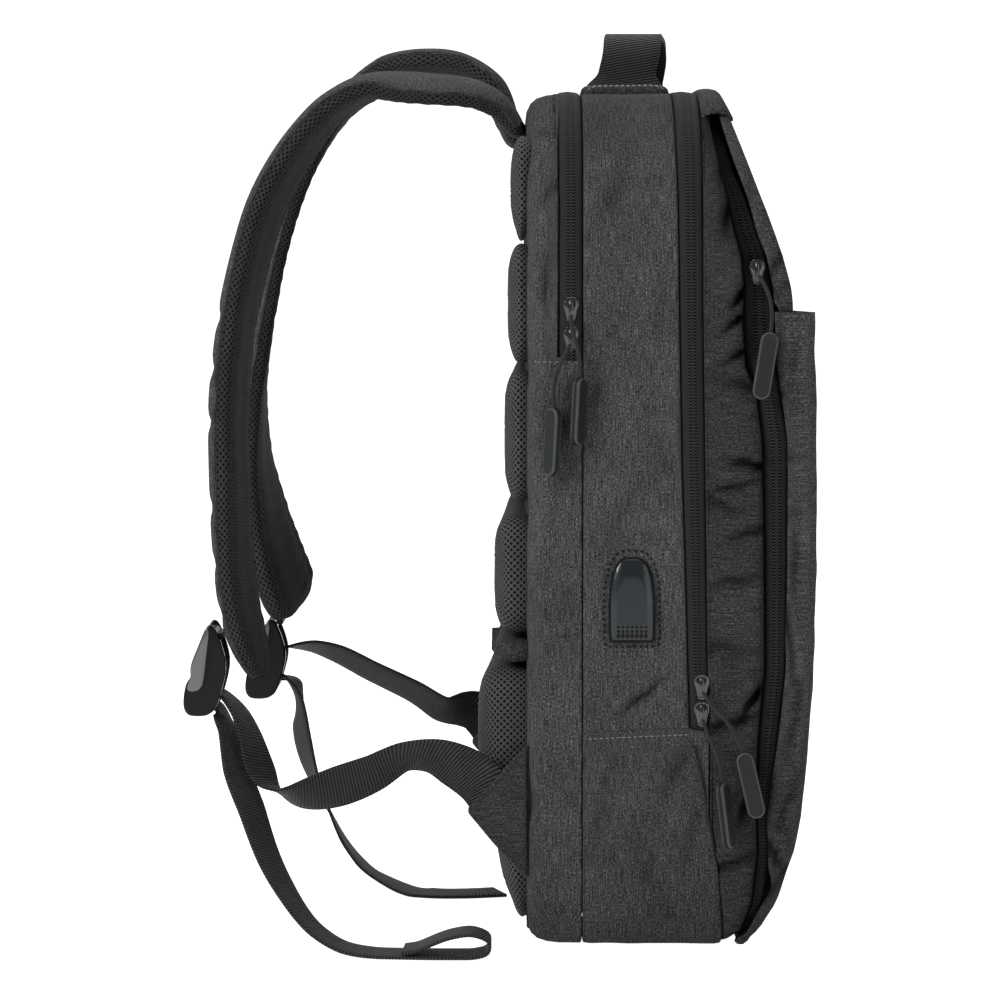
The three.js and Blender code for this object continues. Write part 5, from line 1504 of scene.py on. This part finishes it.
def pull_tab(number, pull):
    """A rubber tab: a lighter rim as painted highlight, and a thin near-black middle layer as painted shade
    in its seam.
    """
    wide, tall, thick = TAB_WIDE, TAB_TALL, TAB_THICK
    low, high = cad_box(f"pull_tab_{number}")
    roll, lean = math.radians(pull["roll"]), math.radians(pull["lean"])
    about_z = np.array([[math.cos(roll), -math.sin(roll), 0], [math.sin(roll), math.cos(roll), 0], [0, 0, 1]])
    about_y = np.array([[math.cos(lean), 0, math.sin(lean)], [0, 1, 0], [-math.sin(lean), 0, math.cos(lean)]])

    def layer(name, grown, deep, edge, material):
        radius = wide / 2 + grown
        points = []
        for turn_from, cz in ((0.0, -wide / 2), (math.pi, wide / 2 - tall)):
            for i in range(13):
                turn = turn_from + i / 12 * math.pi
                points.append((math.cos(turn) * radius, cz + math.sin(turn) * radius))
        thing = flat_shape(name, points, -deep / 2, deep, edge, material, 3)
        places = np.array([v.co for v in thing.data.vertices]) / MM
        turned = places @ about_z.T @ about_y.T
        turned += (low + high) / 2 - (turned.max(0) + turned.min(0)) / 2
        for vertex, place in zip(thing.data.vertices, turned):
            vertex.co = place * MM
        return thing

    tab = layer(f"pull_{number}_tab", 0.0, thick, 1.0, RUBBER)
    # Painted highlight: the bevelled rim takes the lighter rubber
    tab.data.materials.append(RUBBER_RIM_HIGHLIGHT)
    tab.modifiers["bevel"].material = 1
    settle(tab, "pull_rubber", f"pull_tab_{number}")
    # Painted shade: the near-black layer shows round the edge as the seam's groove
    seam = layer(f"pull_{number}_seam", 0.12, 0.7, 0.1, SHADE_AND_THREAD_BLACK)
    settle(seam, "pull_rubber")
    return [tab, seam]


def dome(name, centre, half, lift, material, y_base, shape, rings=7):
    """A rounded shield on the near side: its outline shrinks as it rises, like a pressed slider."""
    rows = []
    for i in range(rings + 1):
        turn = i / rings * math.pi / 2
        share = max(math.cos(turn), 0.02)
        rows.append([(centre[0] + half[0] * x * share, y_base - lift * math.sin(turn),
            centre[1] + half[1] * z * share) for x, z in shape])
    return mesh_object(name, np.array(rows), closed=True, flip=True, material=material, cap=True)


def rounded_ring(points, times=4):
    """The same closed outline with its corners eased, from quadratic curves through the edge middles."""
    eased = []
    count = len(points)
    for i in range(count):
        before, here, after = points[i - 1], points[i], points[(i + 1) % count]
        a = ((before[0] + here[0]) / 2, (before[1] + here[1]) / 2)
        b = ((here[0] + after[0]) / 2, (here[1] + after[1]) / 2)
        for k in range(times):
            t = k / times
            eased.append(tuple((1 - t) ** 2 * a[j] + 2 * t * (1 - t) * here[j] + t * t * b[j] for j in (0,
                1)))
    return eased


def zip_slider(number):
    low, high = cad_box(f"zip_slider_{number}")
    cx, cz = (low[0] + high[0]) / 2, (low[2] + high[2]) / 2
    w, l = (high[0] - low[0]) / 2 + 0.3, (high[2] - low[2]) / 2 + 0.3
    shield = rounded_ring([(-0.5, -1), (0.5, -1), (0.72, -0.1), (1.05, 0.4), (0.8, 1), (-0.8, 1),
        (-1.05, 0.4), (-0.72, -0.1)])
    body = dome(f"slider_{number}_body", (cx, cz), (w, l), 1.5, METAL, high[1] - 0.6, shield)
    plate = flat_shape(f"slider_{number}_plate", [(cx + x * w, cz + z * l) for x, z in shield],
        high[1] - 1.4, 1.4, 0.4, METAL)
    settle(body, "slider_metal", f"zip_slider_{number}")
    settle(plate, "slider_metal")
    line = []
    for i in range(15):
        turn = i / 14 * math.pi
        line.append((cx, high[1] - 1.6 - (high[1] - low[1] - 2.2) * math.sin(turn) ** 0.6,
            cz + l * 0.74 * math.cos(turn)))
    settle(tube(f"slider_{number}_bridge", line, 1.15, METAL, flat=0.55), "slider_metal")


def tube(name, line, radius, material, flat=1.0, count=12):
    """A round or flattened bar along a line of points."""
    line = np.array(line, float)
    along = unit(np.gradient(line, axis=0))
    across = np.tile([1.0, 0.0, 0.0], (len(line), 1))
    across = unit(across - (across * along).sum(axis=1)[:, None] * along)
    out = np.cross(along, across)
    rows = []
    for i in range(len(line)):
        ring = []
        for k in range(count):
            turn = k / count * 2 * math.pi
            level = across[i] * radius * math.cos(turn)
            ring.append(line[i] + level + out[i] * radius * flat * math.sin(turn))
        rows.append(ring)
    return mesh_object(name, np.array(rows), closed=True, material=material, cap=True)


def zip_pulls():
    for number, pull in enumerate(PULLS, 1):
        cord, length = pull_cord(number, pull)
        tab_pieces = pull_tab(number, pull)
        zip_slider(number)


TAB_CORNERS = [(-0.003, 0.241), (0.190, 0.164), (0.192, 0.158), (0.108, 0.121), (-0.003, 0.079)]


def strap_tab(side):
    name = f"strap_tab_{SIDES[side]}"
    low, high = cad_box(name)
    points = [(BACK_FACE - 0.3 - out * STRAP_REACH, up * BODY_HEIGHT) for out, up in TAB_CORNERS]
    # The tab takes the darker heather copy: painted shade
    thing = flat_shape(name + "_cloth", points, low[1], high[1] - low[1], 1.4, CLOTH_PAINTED_SHADE, 3)
    layer = thing.data.uv_layers.new(name="UVMap")
    for loop in thing.data.loops:
        co = thing.data.vertices[loop.vertex_index].co
        layer.data[loop.index].uv = (co.x, co.z)
    settle(thing, "body_fabric", name)
    if side > 0:
        return
    corners = np.array(points)
    middle = corners.mean(axis=0)
    inner = middle + (corners - middle) * 0.86
    for number, (a, b) in enumerate(((0, 1), (2, 3), (3, 4))):
        line = [(x, low[1] - 0.25, z) for x, z in lerp(inner[a], inner[b],
            np.linspace(0.03, 0.97, 12)[:, None])]
        stitches(f"{name}_seam_{number}", np.array(line), 3.0, 2.0, 0.6, THREAD_DARK)


LOCK_PLATE = 5.0
LOCK_OUTLINE = [(0.60, 1.0), (0.50, 0.93), (0.36, 0.76), (0.20, 0.58), (0.165, 0.49), (0.19, 0.42),
    (0.07, 0.36), (0.0, 0.14), (0.06, 0.04), (0.18, 0.0), (0.49, 0.0), (0.63, 0.03), (0.76, 0.09),
    (0.90, 0.31), (1.0, 0.54), (0.90, 0.76), (0.74, 0.96)]
LOCK_CHEEK = [(0.58, 0.985), (0.50, 0.93), (0.36, 0.76), (0.20, 0.58), (0.175, 0.49), (0.20, 0.43),
    (0.10, 0.33), (0.12, 0.26), (0.42, 0.28), (0.50, 0.42), (0.56, 0.70), (0.62, 0.90)]


def ladder_lock(side):
    """Moulded ladder lock: two side plates, the bars between them and a sloped cheek."""
    tag = SIDES[side]
    low, high = cad_box(f"ladder_lock_{tag}")
    wide, tall, thick = high[0] - low[0], high[2] - low[2], high[1] - low[1]

    def place(points):
        return [(low[0] + wide * u, low[2] + tall * v) for u, v in points]

    outer = place(rounded_ring(LOCK_OUTLINE, 3))
    for name, y in (("front", low[1]), ("back", high[1] - LOCK_PLATE)):
        plate = flat_shape(f"lock_{tag}_{name}_plate", outer, y, LOCK_PLATE, 1.5, PLASTIC, 4)
        settle(plate, "lock_plastic", *([f"ladder_lock_{tag}"] if name == "front" else []))
    for number, (u, v, radius) in enumerate(((0.34, 0.17, 3.4), (0.36, 0.38, 2.4), (0.60, 0.62, 3.2),
            (0.64, 0.88, 3.2))):
        x, z = place([(u, v)])[0]
        bar = [(x, low[1] + 3 + (thick - 6) * k / 6, z) for k in range(7)]
        settle(tube(f"lock_{tag}_bar_{number}", bar, radius, PLASTIC), "lock_plastic")
    # Painted reflection: the sloped cheek is lighter grey than the black plates
    cheek = np.array(place(rounded_ring(LOCK_CHEEK, 3)))
    away = np.clip((low[0] + wide * 0.60 - cheek[:, 0]) / (wide * 0.5), 0, 1)
    rise = np.stack([cheek[:, 0], low[1] - 0.3 - 2.6 * (1 - away), cheek[:, 1]], axis=1)
    middle = rise.mean(axis=0)
    rows = []
    for share, back in ((1.0, 3.0), (1.0, 0.8), (0.97, 0.2), (0.92, 0.0), (0.6, 0.0), (0.3, 0.0),
            (0.02, 0.0)):
        rows.append(middle + (rise - middle) * share + (0, back, 0))
    settle(mesh_object(f"lock_{tag}_cheek", np.array(rows), closed=True, material=LOCK_CHEEK_REFLECTION, cap=True,
        flip=True), "lock_plastic")
    seat_low, seat_high = cad_box(f"lock_seat_{tag}")
    seat = [(seat_low[0], seat_low[2]), (seat_high[0], seat_low[2]), (seat_high[0], seat_high[2]),
        (seat_low[0], seat_high[2])]
    # The seat band under the lock takes the darker webbing copy: painted shade
    strip = flat_shape(f"lock_seat_{tag}_band", seat, seat_low[1], seat_high[1] - seat_low[1], 0.5, WEB_PAINTED_SHADE)
    settle(strip, "webbing", f"lock_seat_{tag}")


def cut_end_stitches(rear):
    """The dashed seam under the rear zip's end."""
    for side, tag in SIDES.items():
        seam = [rear.near(x, REAR_ZIP_END - 2.6, 0.2, side) for x in np.linspace(-46.0, MAIN_START - 2.0, 12)]
        stitches(f"zip_end_{tag}_stitches", np.array([p for p in seam if p]), 3.1, 2.1, 0.5, THREAD)


def zip_garage():
    """Cloth strip that covers the top of the front zip between the gusset and the flap."""
    z = RING[:, 1]
    part = np.arange(len(RING))[z > 438]
    start = front_x("gusset", z) - 3.0
    end = front_x("flap", z) + 0.6
    columns = [(start[part], 3.4), (start[part] + 0.1, 1.2)]
    for share, inset in ((0.06, 0.3), (0.2, -0.6), (0.4, -1.0), (0.6, -1.0), (0.8, -0.6), (0.92, 0.4),
            (0.99, 1.8), (1.0, 3.6)):
        columns.append((lerp(start, end, share)[part], inset))
    thing = band("zip_garage", columns, CLOTH, part=part, closed=False)
    # Painted shade over the whole strip, for the darker top of the bag
    mark_painted_shade(thing, np.full((len(columns), int(part.size)), 0.38))
    solidify(thing, 1.4)
    settle(thing, "body_fabric")


def side_stitches(pocket):
    """Thread lines that show on the near and far sides."""
    for side, tag in SIDES.items():
        hem = [pocket[side].near(x, SIDE_POCKET_TOP - POCKET_STITCH_DROP + POCKET_SLOPE * (x + 20), 0.35,
            side) for x in np.linspace(MAIN_START + 2.5, 37.0, 24)]
        hem = np.array([p for p in hem if p])
        stitches(f"side_pocket_{tag}_hem_stitches", hem, 3.0, 2.1, 0.5, THREAD)


rear = rear_shell()
main = main_shell()
gusset = gusset_shell()
zips()
pockets = {side: side_pocket(side) for side in (-1, 1)}
front_flap()
front_pocket()
shoulder_strap(-1, NEAR_STRAP, 10.0, NEAR_PINCHES)
shoulder_strap(1, FAR_STRAP, 4.0, FAR_PINCHES)
webbing("webbing_near_band", "webbing_near", NEAR_WEBBING, WEB)
# The far webbing and tail take the darker webbing copy: painted shade on the far side
webbing("webbing_far_band", "webbing_far", FAR_WEBBING, WEB_PAINTED_SHADE)
webbing("tail_near_band", "tail_near", NEAR_TAIL, WEB)
webbing("tail_far_band", "tail_far", FAR_TAIL, WEB_PAINTED_SHADE)
for pad in BACK_PADS:
    back_pad(**pad)
handle(Surface(main))
port_pod(Surface(main))
zip_pulls()
for side in SIDES:
    strap_tab(side)
for side in SIDES:
    ladder_lock(side)
side_stitches({side: Surface(pockets[side]) for side in pockets})
zip_garage()
cut_end_stitches(Surface(rear))


# Camera, light and floor

def studio():
    camera_data = bpy.data.cameras.new("camera")
    camera_data.sensor_width = 36.0
    camera_data.angle = math.radians(CAMERA_ANGLE)
    camera = linked("camera", camera_data)
    camera.location = [c * MM for c in CAMERA_PLACE]
    camera.rotation_euler = (math.radians(CAMERA_PITCH), 0, 0)
    bpy.context.scene.camera = camera

    n = Nodes("pale_floor")
    place = n.add("ShaderNodeTexCoord").outputs["Object"]
    tone = n.mix(n.noise(place, 3.0, 3.0), (0.36, 0.36, 0.36), (0.40, 0.40, 0.40))
    n.shader.inputs["Emission Color"].default_value = (1, 1, 1, 1)
    n.shader.inputs["Emission Strength"].default_value = 0.96
    floor_paint = n.finish(tone, 0.75, specular=0.2)
    depth = [(-9000, 0), (5000, 0), (6500, 80), (7600, 500), (8300, 1400), (8600, 3000), (8700, 7000)]
    points = np.array([[(x, y, z) for x in (-9000, 9000)] for y, z in depth], float)
    floor = mesh_object("studio_floor", points, flip=True, material=floor_paint)

    world = bpy.data.worlds.new("studio")
    world.use_nodes = True
    world.node_tree.nodes["Background"].inputs[0].default_value = (1, 1, 1, 1)
    world.node_tree.nodes["Background"].inputs[1].default_value = 0.25
    bpy.context.scene.world = world
    bpy.context.scene.view_settings.view_transform = "Standard"
    for name, place, aim, size, power in (
        ("key_light", (-1900, -1500, 1500), (0, 0, 240), 1100, 76),
        ("fill_light", (1600, -1600, 700), (0, 0, 230), 1500, 10),
        ("top_light", (100, 700, 2300), (0, 600, 0), 2400, 66),
    ):
        lamp_data = bpy.data.lights.new(name, "AREA")
        lamp_data.size = size * MM
        lamp_data.energy = power
        lamp = linked(name, lamp_data)
        lamp.location = [c * MM for c in place]
        aim_at = Vector(aim) - Vector(place)
        lamp.rotation_euler = aim_at.to_track_quat("-Z", "Y").to_euler()


studio()
